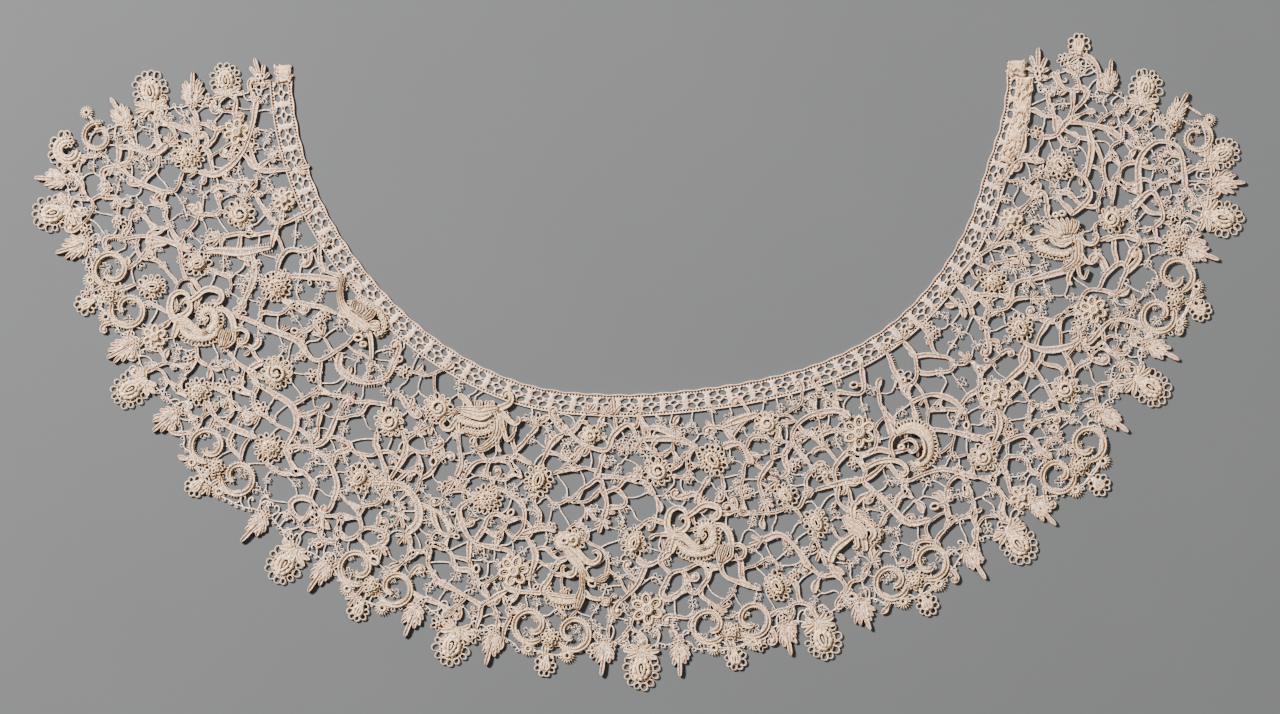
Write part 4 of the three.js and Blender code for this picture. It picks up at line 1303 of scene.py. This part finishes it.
def rosette_oval(sprig, radius, rng):
    """A long eye with a slot in it, in a wide collar of bars and loops."""
    collar_loops(sprig, radius, rng, 1.8, 1.35, 0.84, 0.44)
    spots, angles = ring_of(int(radius * 1.5), radius * 0.56, 0, wide=radius * 0.42)
    sprig.thread(np.stack([spots * 0.82, spots * 1.05, spots * 1.3], 1), 0.34, 0.9, 3)
    path, swelling = lumpy(radius * 0.42, radius * 0.27, 10, 0.14)
    sprig.ring(path, 0.95 * swelling, 1.8 * swelling, 0.9, 0.2)
    sprig.ring(oval(radius * 0.25, radius * 0.12, 14), 0.5, 1.3, 1.9, 0.3)
    sprig.teeth(np.concatenate([path, path[:2]]), 0.9, -1, spacing=1.3, length=1.1, level=1.3)


def rosette_petals(sprig, radius, rng):
    """Six corded petals about a raised knot."""
    spots, angles = ring_of(6, radius * 0.6, rng.uniform(0, 60))
    sprig.ring(spread(oval(radius * 0.34, radius * 0.25, 18), spots, angles), 0.75, 1.4, 0.3)
    sprig.loops(radius * 0.17, radius * 0.1, 9, spots, angles, 1.0, 0.35, 0.7)
    path, swelling = lumpy(radius * 0.25, radius * 0.25, 8, 0.16)
    sprig.ring(path, radius * 0.12 * swelling, 1.8, 1.1, 0.3)
    sprig.thread(oval(radius * 0.09, radius * 0.09, 10), 0.4, 2.5, 5, loop=True)
    sprig.loops(0.7, 0.6, 7, *ring_of(18, radius * 0.99, angles[0]), 1.0, 0.26, 0.7)


def rosette_shaggy(sprig, radius, rng):
    """Heaped rings of loops, tilted this way and that, over a solid middle."""
    for far, size, level in ((0.8, 1.9, 0.7), (0.52, 1.7, 1.7), (0.24, 1.3, 2.6)):
        count = int(radius * far * 1.6) + 3
        spots, angles = ring_of(count, radius * far, rng.uniform(0, 40))
        ways, sizes = angles + rng.uniform(-28, 28, count), rng.uniform(0.8, 1.15, count)
        sprig.loops(size, size * 0.66, 10, spots, ways, sizes, 0.46, level, sprig.tone + level * 0.12)
    path, swelling = lumpy(radius * 0.36, radius * 0.32, 9, 0.16)
    sprig.ring(path, radius * 0.2 * swelling, 1.4, 0.6)


ROSETTE_KINDS = [rosette_round, rosette_oval, rosette_petals, rosette_shaggy]


def picots(count, size=1.0, phase=0.0):
    """A small flower of count open loops, as one closed path that pinches in between them."""
    reach = np.tile([0.5, 1.4, 2.2, 2.2, 1.4], count) * size
    petals = np.arange(count)[:, None] + [-0.5, -0.33, -0.18, 0.18, 0.33]
    turn = petals.ravel() * FULL_TURN / count + phase
    return np.stack([reach * np.cos(turn), reach * np.sin(turn)], -1)


def lobe_scroll(sprig, rng):
    """An open picoted C scroll whose inner end curls round an eye, with a star on a bar in it."""
    path = spiral(8.3, 2.2, -48, 410, 40, 3.0)
    sprig.ribbon(path, 1.15 * rounded(40, 0.06, 0.08, 0.3), 1.7, 0.2)
    for hand in (1, -1):
        sprig.teeth(path, 1.1, hand, spacing=1.45, length=0.85, level=0.8)
    sprig.thread(picots(5) + (-3.6, -3.4), 0.3, 0.9, 3, loop=True)
    for start, end in (((-2.2, -1.6), (-4.6, -5.2)), ((2.0, -1.0), (7.6, -3.4))):
        sprig.thread(np.linspace(start, end, 4), 0.34, 0.7)


def hooked(sprig, path, half, point, bulb):
    """A strand that rounds off over its last share, point, and ends in a round bulb."""
    sprig.ribbon(path, half * rounded(len(path), 0.0, point), 1.35)
    sprig.ring(oval(bulb, bulb, 8, path[-1]), 0.75, 1.7)


def curl(sprig, rng):
    """A stem's end that turns back in a hook round a bulb."""
    hooked(sprig, bent(13.5, 20, rng.uniform(300, 380), 15), 1.3 * np.linspace(1.05, 0.9, 15), 0.1, 0.6)


def volute(sprig, rng):
    """A stem that curls up on itself and ends in a round bulb."""
    hooked(sprig, bent(15.5, 10, 330, 16), 1.15 * np.linspace(1.2, 0.85, 16), 0.12, 0.65)


def blade(sprig, rng):
    """A plain tapering leaf on a curved stalk."""
    share = np.linspace(0, 1, 11)
    half = 0.9 + 1.35 * np.sin(np.pi * np.clip((share - 0.3) / 0.7, 0, 1)) - 0.45 * share
    sprig.ribbon(bent(9.5, 20, 40, 11), half, 1.3)


def small_leaf(sprig, rng):
    """Three or five fingers on a short stalk."""
    count = int(rng.choice([3, 5]))
    ways = np.array([0, 42, -42, 80, -80.0])[:count] + rng.uniform(-6, 6, count)
    longs = np.array([8.0, 6.0, 6.0, 4.2, 4.2])[:count] * rng.uniform(0.9, 1.1, count)
    fingers(sprig, [(1.4, 0)] * count, ways, longs, [1.2, 1.1, 1.1, 1.0, 1.0][:count], rows=6)


def small_flower(sprig, rng):
    """Five or six looped petals about a small raised ring, on a short stalk."""
    count = int(rng.integers(5, 7))
    spots, angles = ring_of(count, 2.5, rng.uniform(0, 60), (4.2, 0))
    sizes = rng.uniform(0.85, 1.15, count)
    sprig.loops(1.5, 1.05, 8, spots, angles + rng.uniform(-12, 12, count), sizes, 0.5, 0.8, sides=3)
    sprig.ring(oval(0.95, 0.95, 8, (4.2, 0)), 0.5, 1.4, 0.5, 0.2)
    sprig.ribbon(bent(2.0, 0, 0, 3), 1.0, 1.2)


def bud(sprig, rng):
    """An oval ring with an eye at the end of a stalk."""
    sprig.ribbon(bent(4.5, 20, 0, 5), 1.1, 1.3)
    sprig.ring(oval(2.3, 1.7, 14, (6.2, 0.8)), 0.75, 1.6)


def spur(sprig, rng):
    """A short blunt shoot with teeth along one edge."""
    path = bent(8.0, 45, 60, 9)
    sprig.ribbon(path, 1.2 * rounded(9, 0.0, 0.3), 1.4)
    sprig.teeth(path, 1.1, 1, spacing=1.2, length=0.8)


def raised_motif(sprig, strands, rng):
    """A raised motif from its table of strands. Cloth is three cords side by side, a frill has
    rows of loops on its right, and a comb picots there. Room only keeps the stems away."""
    for strand in strands:
        kind, level = strand[0], strand[2]
        path, half = strand_line(strand)
        if kind == "room":
            continue
        if kind == "ring":
            sprig.ring(path, RING_HALF, 1.6, level, 0.2)
            continue
        section = PADDED if kind in ("frill", "pad") else CORDED
        tone = {"cloth": -0.1, "pad": 0.15, "frill": 0.75}.get(kind, sprig.tone)
        side = sides_of(path) * half[:, None]
        spans, share = ((-0.66, 0.0, 0.66), 0.36) if kind == "cloth" else ((0.0,), 1.0)
        for span in spans:
            lift = level + 0.25 * (span == 0)
            sprig.ribbon(path + side * span, half * share, 1.4, lift, section, tone=tone)
        if kind == "comb":
            sprig.teeth(path, half.mean(), -1, level=level + 0.5)
        if kind == "frill":
            for out, beyond, lift in ((-0.6, 0.0, 1.1), (0.1, 0.0, 1.4), (1.0, 0.9, 0.4)):
                line = resampled(path - side * out - sides_of(path) * beyond, 2.1)
                ways = heading_of(-sides_of(line)) + rng.uniform(-22, 22, len(line))
                sizes = rng.uniform(0.8, 1.15, len(line))
                sprig.loops(1.5, 1.0, 9, line, ways, sizes, 0.38, level + lift, tone)


# Pieces --------------------------------------------------------------------------------------


def flowing(path, rounds):
    """A path whose corners are eased: each point is drawn again and again between its neighbours."""
    path = resampled(path, 0.8)
    for _ in range(rounds):
        path[1:-1] = (path[:-2] + 2 * path[1:-1] + path[2:]) / 4
    return path


def swaying(path, rng):
    """A path that swings up to a millimetre to one side and the other between its fixed ends."""
    share = np.linspace(0, 1, len(path))
    swing = np.sin(share * len(path) * 0.8 / rng.uniform(2.0, 3.4) + rng.uniform(0, 6))
    swing = swing * rng.uniform(0.4, 1.1) * np.sin(np.pi * share) ** 0.5
    return path + sides_of(path) * swing[:, None]


def stem_plan(rng):
    """Every stem's path, half width, lift, and the edges combed with picots: 1 left, -1 right."""
    near = net.neighbours()
    plan = []
    for number, path in enumerate(BOUGH_PATHS[:len(BOUGHS)]):
        combed = number in COMBED_BOUGHS
        half = rng.uniform(1.25, 1.65) + 0.3 * combed
        plan.append((flowing(path, 4), half, rng.uniform(0.15, 0.5), (1, -1) * combed))
    for stem in net.stems:
        edge, combed = rng.choice([-1, 1]), rng.random() < 0.12
        path = swaying(flowing(stem_path(net, stem, near), 14), rng)
        plan.append((path, rng.choice([0.8, 1.05, 1.2, 1.4]), rng.uniform(0, 0.3), (edge,) * combed))
    return plan


def lay_stem(stems, combs, whole, width, lift, edges, rng):
    """One stem, in the parts that the motifs leave clear, swelling and thinning a little."""
    for run in clear_runs(whole):
        path = resampled(run, 1.6)
        rows = len(path)
        swell = 1 + 0.18 * width * np.sin(np.linspace(0, rng.uniform(4, 9), rows) + rng.uniform(0, 6))
        full = rounded(rows, 1.0 / rows, 1.0 / rows, 0.45)
        ribbon(stems, path, width * swell * full, 1.35, lift, tone=rng.uniform(0.0, 0.5))
        for hand in edges if rows > 6 else ():
            teeth(combs, path, width, hand, tone=0.8)


def webs(stems, rng):
    """Where three stems meet, tongues of cloth that taper out along each and fill the forks."""
    for knot, others in sorted(net.neighbours().items()):
        root = net.knots[knot]
        if len(others) < 3 or room(root).min() < 3.0 or rng.random() > 0.5:
            continue
        for other in sorted(others):
            way = net.knots[other] - root
            far = np.linalg.norm(way) + 1e-6
            path = root + way / far * np.linspace(-0.8, min(far * 0.85, 8.0), 6)[:, None]
            ribbon(stems, path, np.array([1.6, 2.5, 2.1, 1.6, 1.1, 0.6]), 1.3, 0.25, EDGED, tone=-0.3)


def free_ends(paths):
    """The ends of stems that meet no motif and no other stem, as points and headings."""
    ends = []
    for number, path in enumerate(paths):
        others = all_but(paths, number)
        for tip, before in ((path[-1], path[-6 % len(path)]), (path[0], path[5 % len(path)])):
            if room(tip).min() > 1.0 and distances(tip, others).min() > 2.6:
                ends.append((tip, heading_of(tip - before)))
    return ends


def roomier_side(tip, heading, others):
    """1 where the space to the left of an end is emptier than the one to its right, else -1."""
    ahead = unit(heading)
    sides = (tip + 3 * ahead + 6 * hand * leftward(ahead) for hand in (1, -1))
    left, right = (distances(spot, others).min() for spot in sides)
    return 1 if left > right else -1


def lace_stems(rng):
    """The thick corded stems, with combs of picots on some and a curl or leaf at each free end."""
    stems, combs, endings = Skein(), Skein(), Skein()
    plan = stem_plan(rng)
    for row in plan:
        lay_stem(stems, combs, *row, rng)
    webs(stems, rng)
    paths = [path for path, *_ in plan]
    for tip, heading in free_ends(paths):
        hand = roomier_side(tip, heading, np.concatenate(paths))
        sprig = Sprig(endings, tip, heading, rng.uniform(0.85, 1.1), rng.uniform(0.1, 0.7), 0.2, hand)
        rng.choice([curl, curl, blade, small_leaf, small_flower])(sprig, rng)
    return stems, combs, endings


def lace_links(rng):
    """The thin bars between stems, and the clusters of picots on them."""
    links, stars = Skein(), Skein()
    pairs = np.array(net.links)
    start, end = net.knots[pairs[:, 0]], net.knots[pairs[:, 1]]
    share = np.linspace(0, 1, 6)[None, :, None]
    bow = rng.normal(0, 0.12, (len(pairs), 1, 1)) * np.sin(np.pi * share)
    bow = bow + rng.normal(0, 0.05, (len(pairs), 1, 1)) * np.sin(FULL_TURN * share)
    paths = start[:, None] + (end - start)[:, None] * share + leftward(end - start)[:, None] * bow
    middle = paths[:, 2:4].mean(1)
    clear = (room(middle) > -1.5).all(1) & inside(middle, OUTLINE)
    radius, tone = rng.uniform(0.3, 0.46, clear.sum()), rng.uniform(0, 0.3, clear.sum())
    thread(links, paths[clear], radius[:, None], 0.7, 4, tone=tone)
    spots = middle[clear & (np.linalg.norm(end - start, axis=1) > 3.6)]
    spots = np.concatenate([spots[::3], net.knots[sorted(set(pairs.ravel()))][::2]])
    spots = spots[inside(spots, OUTLINE)]
    for spot in spots + rng.normal(0, 0.6, spots.shape):
        star = picots(int(rng.integers(4, 6)), rng.uniform(1.0, 1.5), rng.uniform(0, 6))
        thread(stars, star + spot, 0.29, 0.95, 3, loop=True, tone=0.1)
    return links, stars


def rim_cord(links, rng):
    """A cord that wanders along the rim, with loops outside it and thin hooks inside."""
    wander = np.convolve(rng.normal(0, 1.9, len(RIM_CURVE)), np.hanning(9) / 4, "same").clip(-0.9, 0.9)
    rim = RIM_CURVE + sides_of(RIM_CURVE) * wander[:, None]
    thread(links, rim, 0.4, 0.7, 4, tone=0.15)
    even = resampled(rim, 4.1)
    out = sides_of(even)
    sizes = rng.uniform(0.7, 1.35, len(even))
    thread(links, spread(oval(0.9, 0.8, 8), even + out * 1.1, 0, sizes), 0.3, 0.8, 3, loop=True, tone=0.1)
    for number, (spot, back) in enumerate(zip(even, -out)):
        if rng.random() < 0.3:
            continue
        hand = rng.choice([-1, 1])
        heading = heading_of(back) + rng.uniform(-50, 50)
        hook = bent(rng.uniform(9, 14), hand * 20, hand * rng.uniform(180, 330), 12)
        path = spread(hook, spot, heading)[0]
        if room(path[-4:]).min() > 0:
            thread(links, path, 0.42, 0.8, 4, tone=0.2)
            if number % 3 == 0:
                thread(links, path[-1] + picots(5, 1.15, number), 0.3, 1.0, 3, loop=True, tone=0.2)


def ornaments(rng, made):
    """What grows from a stem into a hole: volutes, small leaves and flowers, ringed buds."""
    makers = [volute, volute, blade, blade, small_leaf, small_flower, small_flower, bud, spur]
    on_stem = {knot for stem in net.stems for knot in stem} | set(np.flatnonzero(net.on_bough >= 0))
    for cell, knots in sorted(net.cells.items()):
        site = net.sites[cell]
        anchors = [knot for knot in knots if knot in on_stem]
        if room(site).min() < 2.6 or not anchors or rng.random() < 0.52:
            continue
        count = 1 + (rng.random() < 0.15)
        for anchor in rng.choice(anchors, min(count, len(anchors)), replace=False):
            way = site - net.knots[anchor]
            depth = np.linalg.norm(way)
            if 4 <= depth <= 16:
                heading, tone = heading_of(way) + rng.uniform(-22, 22), rng.uniform(0.1, 0.8)
                sprig = Sprig(made, net.knots[anchor], heading, depth / 9.5, tone, 0.1, rng.choice([-1, 1]))
                rng.choice(makers)(sprig, rng)
    return made


def raised_rosettes(rng):
    """The raised flowers over the ground."""
    made = Skein()
    for turn, reach, radius, kind in ROSETTES:
        heading = -turn + rng.uniform(-35, 35)
        sprig = Sprig(made, place(turn, reach), heading, 1.0, rng.uniform(0.5, 0.95), 0.2)
        ROSETTE_KINDS[kind](sprig, radius, rng)
    return made


def lobe_scrolls(rng):
    """Two facing scrolls in each lobe, a shaggy flower between them, suns on both shoulders and an
    arched cord with picots over them; and one scroll and one sun at each end of the rim."""
    made = Skein()
    for (crown, out, side), (turn, _) in zip(zip(*lobe_frames()), LOBES):
        for hand in (1, -1):
            middle = crown + out * SCROLL_AT[0] + side * SCROLL_AT[1] * hand
            lobe_scroll(Sprig(made, middle, -turn, SCROLL_SIZE, rng.uniform(0.3, 0.6), 0.0, hand), rng)
            sun(Sprig(made, crown - out * 0.8 + side * 11.5 * hand, rng.uniform(0, 30), 1.0, 0.4, 0.1), rng)
        rosette_shaggy(Sprig(made, crown - out * 8.5, -turn, 1.0, 0.8, 0.1), 5.2, rng)
        for hand in (1, -1):
            steps = ((0.3, 0), (-0.2, 6.5), (-4.2, 14.5), (-10.5, 19.5))
            arc = through(np.array([crown + out * ahead + side * aside * hand for ahead, aside in steps]))
            thread(made, resampled(arc, 1.2), 0.55, 0.7, tone=0.2)
            teeth(made, arc, 0.4, -hand, spacing=2.6, length=1.2)
        thread(made, [crown + out * ahead for ahead in (-4.0, -1.5, 0.5)], 0.6, 0.7)
    for turn, reach, heading, size, hand in END_SCROLLS:
        lobe_scroll(Sprig(made, place(turn, reach), heading, size, 0.4, 0.0, hand), rng)
    for turn, reach, foot_turn, foot_reach in END_SUNS:
        middle, foot = place(turn, reach), place(foot_turn, foot_reach)
        sun(Sprig(made, middle, 0.0, 0.85, 0.4, 0.1), rng)
        thread(made, foot + (middle - foot) * np.linspace(-0.2, 0.72, 5)[:, None], 0.8, 0.7, tone=0.3)
    return made


def edge_pieces(rng):
    """Each palmette, leaf and floret of the rim, in the place of its own CAD node."""
    makers = {"palmette": palmette, "leaf": leaf, "floret": floret, "shell": shell, "crest": crest}
    made, pieces = dict.fromkeys(makers, 0), []
    for turn, reach, motif, heading, size in EDGE:
        if motif is None:
            continue
        kind = {"shell": "palmette", "crest": "leaf"}.get(motif, motif)
        made[kind] += 1
        skein = Skein()
        makers[motif](Sprig(skein, place(turn, reach), heading, size, rng.uniform(0.2, 0.6), 0.1), rng)
        node = f"edge_{kind}_{made[kind]:02d}"
        linens = STEM_LINEN if kind == "leaf" else RAISED_LINEN
        pieces.append(skein.piece(f"{node}_lace", linens, "edging_lace", [node]))
    return pieces


def raised_pieces(rng):
    """Each large fan and scroll, in the place of its own CAD node."""
    pieces, made = [], {"fan": 0, "scroll": 0}
    for kind, turn, reach, strands in RAISED_MOTIFS:
        made[kind] += 1
        skein = Skein()
        raised_motif(Sprig(skein, place(turn, reach), 0.0, 1.0, rng.uniform(0.2, 0.5), 0.2), strands, rng)
        node = f"raised_{kind}_{made[kind]}"
        pieces.append(skein.piece(f"{node}_lace", RAISED_LINEN, "raised_lace", [node]))
    return pieces


# The neck band -------------------------------------------------------------------------------

BAND_REPEAT, BAND_WIDE = 12.4, 12.8  # mm
BAND_MIDDLE = BAND_WIDE / 2
SMALL_HOLES = 7  # in each row of one repeat


def band_map():
    """Where the band's own coordinates, mm along the neck edge and mm across, lie on the table, and
    its length."""
    turns = np.linspace(RIGHT_TURN, LEFT_TURN, 400)
    edge = place(turns, neck_radius(turns))
    gone = np.concatenate([[0], np.cumsum(np.linalg.norm(np.diff(edge, axis=0), axis=1))])

    def to_table(points):
        """Points of ... x 2 on the band, on the table."""
        turn = np.interp(points[..., 0], gone, turns)
        return place(turn, neck_radius(turn) + points[..., 1] * band_width(turn) / BAND_WIDE)

    return to_table, gone[-1]


def band_holes(pitch):
    """The holes of one repeat as x, y, half length, half width and tilt: two rows of small ones
    along the edges; and in the middle four long ones, two slits and an oval."""
    small = [((number + 0.5) / SMALL_HOLES * pitch, y, 0.66, 0.62, 0)
             for number in range(SMALL_HOLES) for y in (1.3, 11.5)]
    middle = pitch / 2
    long = [(middle + hand * 2.65, BAND_MIDDLE + way * 2.6, 2.55, 1.5, -hand * way * 20)
            for hand in (1, -1) for way in (1, -1)]
    slits = [(middle + hand * 3.9, BAND_MIDDLE, 0.9, 0.45, 0) for hand in (1, -1)]
    return small, [*long, *slits, (middle, BAND_MIDDLE, 1.8, 1.0, 0)]


def ellipse_points(holes, count, grown=0.0):
    """Count points round each hole, grown outwards by some mm."""
    x, y, long, wide, tilt = np.array(holes).T[:, :, None]
    angle = round_angles(count)
    ring = np.stack([(long + grown) * np.cos(angle), (wide + grown) * np.sin(angle)], -1)
    return list(turned_by(ring, tilt[:, 0]) + np.stack([x, y], -1))


def pierced_repeat(pitch):
    """One repeat of the band cut into triangles round its holes: points, their fullness from 0 at
    the rim of a hole to 1, triangles, and the two rows of points that meet the repeats beside it."""
    small, large = band_holes(pitch)
    across = np.array([0, 0.7, 1.6, 2.6, 3.8, 5.1, BAND_MIDDLE, 7.7, 9.0, 10.2, 11.2, 12.1, BAND_WIDE])
    along = np.linspace(0, pitch, 17)[1:-1]
    sides = [np.stack([np.full(len(across), x), across], -1) for x in (0.0, pitch)]
    brims = [np.stack([along, np.full(len(along), y)], -1) for y in (0.0, BAND_WIDE)]
    rims = ellipse_points(small, 6) + ellipse_points(large, 12)
    lips = ellipse_points(large, 12, grown=0.3)
    cloth = np.stack(np.meshgrid([0.8, pitch - 0.8], across[3:-3] + 0.3), -1).reshape(-1, 2)
    parts = ((0.9, sides), (0.35, brims), (0.0, rims), (1.0, lips + [cloth]))
    points = np.concatenate([row for _, rows in parts for row in rows])
    full = np.concatenate([np.full(len(row), fullness) for fullness, rows in parts for row in rows])
    _, _, faces, origin, _, _ = delaunay_2d_cdt([Vector(point) for point in points], [], [], 0, 1e-5)
    order = np.array([source[0] for source in origin])
    faces = order[np.array(faces)]
    middle = points[faces].mean(1)
    solid = np.ones(len(faces), bool)
    for x, y, long, wide, tilt in small + large:
        from_hole = turned_by(middle - [x, y], -tilt) / [long, wide]
        solid &= (from_hole ** 2).sum(1) > 0.8
    first = np.arange(len(across))
    return points, full, faces[solid], first, first + len(across)


BAND_UNDER = 0.12  # mm that its underside lies off the table
BAND_RISE = (0.5, 0.45)  # mm: how high the rim of a hole stands, and how much higher full cloth
EDGE_SCALLOP = 0.3  # mm that the neck edge swings in and out


def band_repeats(length):
    """How many whole repeats a length holds, and how long each is then."""
    count = int(length // BAND_REPEAT)
    return count, length / count


def pierced_band(skein, to_table, length, level=0.0, crumpled=0.16):
    """The pierced repeats laid end to end along the neck and joined, as a sheet with its two faces
    and the walls of its holes, at a level and with bumps as high as crumpled says, in mm."""
    count, pitch = band_repeats(length)
    points, full, faces, first, last = pierced_repeat(pitch)
    tile = np.arange(count)[:, None, None]
    flat = (points + tile * [pitch, 0]).reshape(-1, 2)
    weld = np.arange(len(flat)).reshape(count, -1)
    weld[:-1, last] = weld[1:, first]
    top = weld[:, faces].reshape(-1, 3)
    scallop = EDGE_SCALLOP * np.cos(flat[:, 0] * FULL_TURN / pitch) * (flat[:, 1] < 0.1)
    place_on = to_table(flat - scallop[:, None] * [0, 1])
    fullness = np.tile(full, count)
    bump = crumpled * np.sin(flat[:, 0] * 0.9) * np.sin(flat[:, 1] * 0.7 + level)
    rise = level + BAND_RISE[0] + BAND_RISE[1] * fullness + bump * fullness
    upper = np.concatenate([place_on, rise[:, None]], 1)
    under = np.concatenate([place_on, np.full((len(flat), 1), level + BAND_UNDER)], 1)
    edges = np.concatenate([top[:, [0, 1]], top[:, [1, 2]], top[:, [2, 0]]])
    low = len(flat)
    _, where, seen = np.unique(np.sort(edges, 1) @ [1, low], return_index=True, return_counts=True)
    start, end = edges[where[seen == 1]].T
    walls = [np.stack(rim, -1) for rim in ((end, start, start + low), (end, start + low, end + low))]
    every = np.concatenate([top, top[:, ::-1] + low, *walls])
    used, compact = np.unique(every, return_inverse=True)
    both, chart = np.concatenate([upper, under])[used], np.concatenate([flat, flat])[used]
    first, second, third = upper[top[0]]
    upside_down = np.cross(second - first, third - first)[2] < 0
    skein.facet(both, compact.reshape(-1, 3)[:, ::-1 if upside_down else 1], chart)


def neck_band():
    """A bobbin lace strip: a pierced sheet of close cloth with a cord along both edges, of which the
    one at the neck is scalloped."""
    to_table, length = band_map()
    threads, cloth = Skein(), Skein()
    pierced_band(cloth, to_table, length)
    count, pitch = band_repeats(length)
    run = np.linspace(0, length, count * 8)
    for across, scallop in ((0.25, EDGE_SCALLOP), (12.5, 0)):
        line = across - scallop * np.cos(run * FULL_TURN / pitch)
        thread(threads, to_table(np.stack([run, line], -1)), 0.34, 0.95, 4, tone=0.2)
    return threads, cloth


PLEAT_COLUMNS = 40


def gathered(skein, start, end, near, far, rng, level, thick, pleat, rows=24):
    """Cloth gathered in pleats that run along the neck, from turn start to end and from near to far
    mm outside the neck edge: a flat tube whose upper face rises and falls in waves pleat mm apart,
    that wander a little, and whose ends are ragged."""
    share = np.linspace(0, 1, rows)[:, None]
    round_it = np.linspace(0, FULL_TURN, PLEAT_COLUMNS, endpoint=False)[None]
    across = np.sign(np.cos(round_it)) * np.abs(np.cos(round_it)) ** 0.45
    upper = np.maximum(np.sin(round_it), 0) ** 0.35
    offset = (near + far) / 2 - (far - near) / 2 * across * np.sign(start - end)
    offset = offset + 0.45 * (np.sin(share * 7 + near) + np.sin(share * 17)) * np.abs(across)
    ragged = rng.normal(0, 0.2, (1, PLEAT_COLUMNS)) * np.sign(share - 0.5) * (np.abs(share - 0.5) > 0.4)
    turn = start + (end - start) * share + ragged
    wander = 0.9 * np.sin(share * 9.0 + 1.3) + 0.5 * np.sin(share * 23.0)
    fold = 0.5 + 0.5 * np.sin(offset * FULL_TURN / pleat + wander)
    crease = 0.5 + 0.5 * np.sin(share * 31.0 + offset * 1.1)
    height = level + thick * upper * (0.3 + 0.5 * fold + 0.2 * crease)
    spots = place(turn, neck_radius(turn) + offset)
    skein.lay(np.concatenate([spots, height[..., None]], -1), girth=2 * (far - near))


HEM_DRAWN_IN = 3.4  # mm by which the gathered end is narrower than the band
HEMS = [
    # side, the turns that the flat fold runs from and to, and those of the bunch that lies on it
    ("right", (0.05, RIGHT_TURN - 0.09), (0.05, 1.293)),
    ("left", (179.4, LEFT_TURN + 0.09), (LEFT_TURN + 0.09, 178.0745)),
]


def neck_hem(fold, bunch, rng):
    """A turned end of the band: its flat fold, and its end bunched up on it."""
    skein = Skein()
    wide = float(band_width(min(fold))) - HEM_DRAWN_IN
    gathered(skein, *fold, -0.4, wide, rng, level=0.0, thick=1.9, pleat=1.3)
    gathered(skein, *bunch, 0.4, wide - 0.8, rng, level=1.0, thick=1.2, pleat=1.5, rows=12)
    return skein


def doubled_tape(rng):
    """The band's right end, doubled: its pierced pattern over a crumpled backing cloth."""
    skein = Skein()
    gathered(skein, RIGHT_TURN + 0.1, 15.5, 5.2, 14.6, rng, level=0.25, thick=1.3, pleat=1.9, rows=60)
    to_table, _ = band_map()

    def shifted(points):
        """The band's points drawn in to the outer part of its width, swaying as it was sewn."""
        x, y = points[..., 0], points[..., 1]
        sway = 0.5 * np.sin(x * 0.37) + 0.3 * np.sin(x * 1.1 + y * 0.6)
        return to_table(np.stack([x + 0.4 + 0.3 * np.sin(y * 0.9), y * 0.6 + 5.0 + sway], -1))

    pierced_band(skein, shifted, TAPE_CUT[1] / MM, level=1.0, crumpled=0.5)
    return skein


# width and length in m of each cut, and the flat area in square m of what shows of it
TAPE_CUT, TAPE_AREA = (0.024, 0.048), 0.00092  # let out: the pierced layer 12.8 mm wide, its backing 11.2


def build():
    """Makes every piece of the collar."""
    rng = np.random.default_rng(SEED + 1)
    stems, combs, endings = lace_stems(rng)
    ground = stems.piece("lace_stems", STEM_LINEN, "needle_lace", ["lace_ground"])
    links, stars = lace_links(rng)
    rim_cord(links, rng)
    worked = [
        ("lace_combs", combs, RAISED_LINEN),
        ("lace_links", links, THREAD_LINEN),
        ("lace_picots", stars, THREAD_LINEN),
        ("lace_ornaments", ornaments(rng, endings), STEM_LINEN),
        ("lace_rosettes", raised_rosettes(rng), RAISED_LINEN),
        ("lace_lobe_scrolls", lobe_scrolls(rng), RAISED_LINEN),
    ]
    whole = [skein.piece(name, linens, "needle_lace") for name, skein, linens in worked]
    whole += edge_pieces(rng) + raised_pieces(rng)
    threads, cloth = neck_band()
    band = threads.piece("neck_band_threads", BAND_LINEN, "bobbin_lace")
    toile = cloth.piece("neck_band_cloth", CLOTH_LINEN, "bobbin_lace", ["neck_band"])
    tape = doubled_tape(rng).piece("neck_band_tape", TAPE_LINEN, "bobbin_lace")
    for side, fold, bunch in HEMS:
        node = f"neck_hem_{side}"
        hem = neck_hem(fold, bunch, rng).piece(f"{node}_cloth", TAPE_LINEN, "hem_linen", [node])


build()


TABLE_HALF = 4.0  # m


def table():
    """A pale board under the collar."""
    mesh = bpy.data.meshes.new("table")
    corners = [(x * TABLE_HALF, y * TABLE_HALF, 0) for x, y in ((-1, -1), (1, -1), (1, 1), (-1, 1))]
    mesh.from_pydata(corners, [], [(0, 1, 2, 3)])
    mesh.materials.append(BOARD)
    board = added("table", mesh)


table()
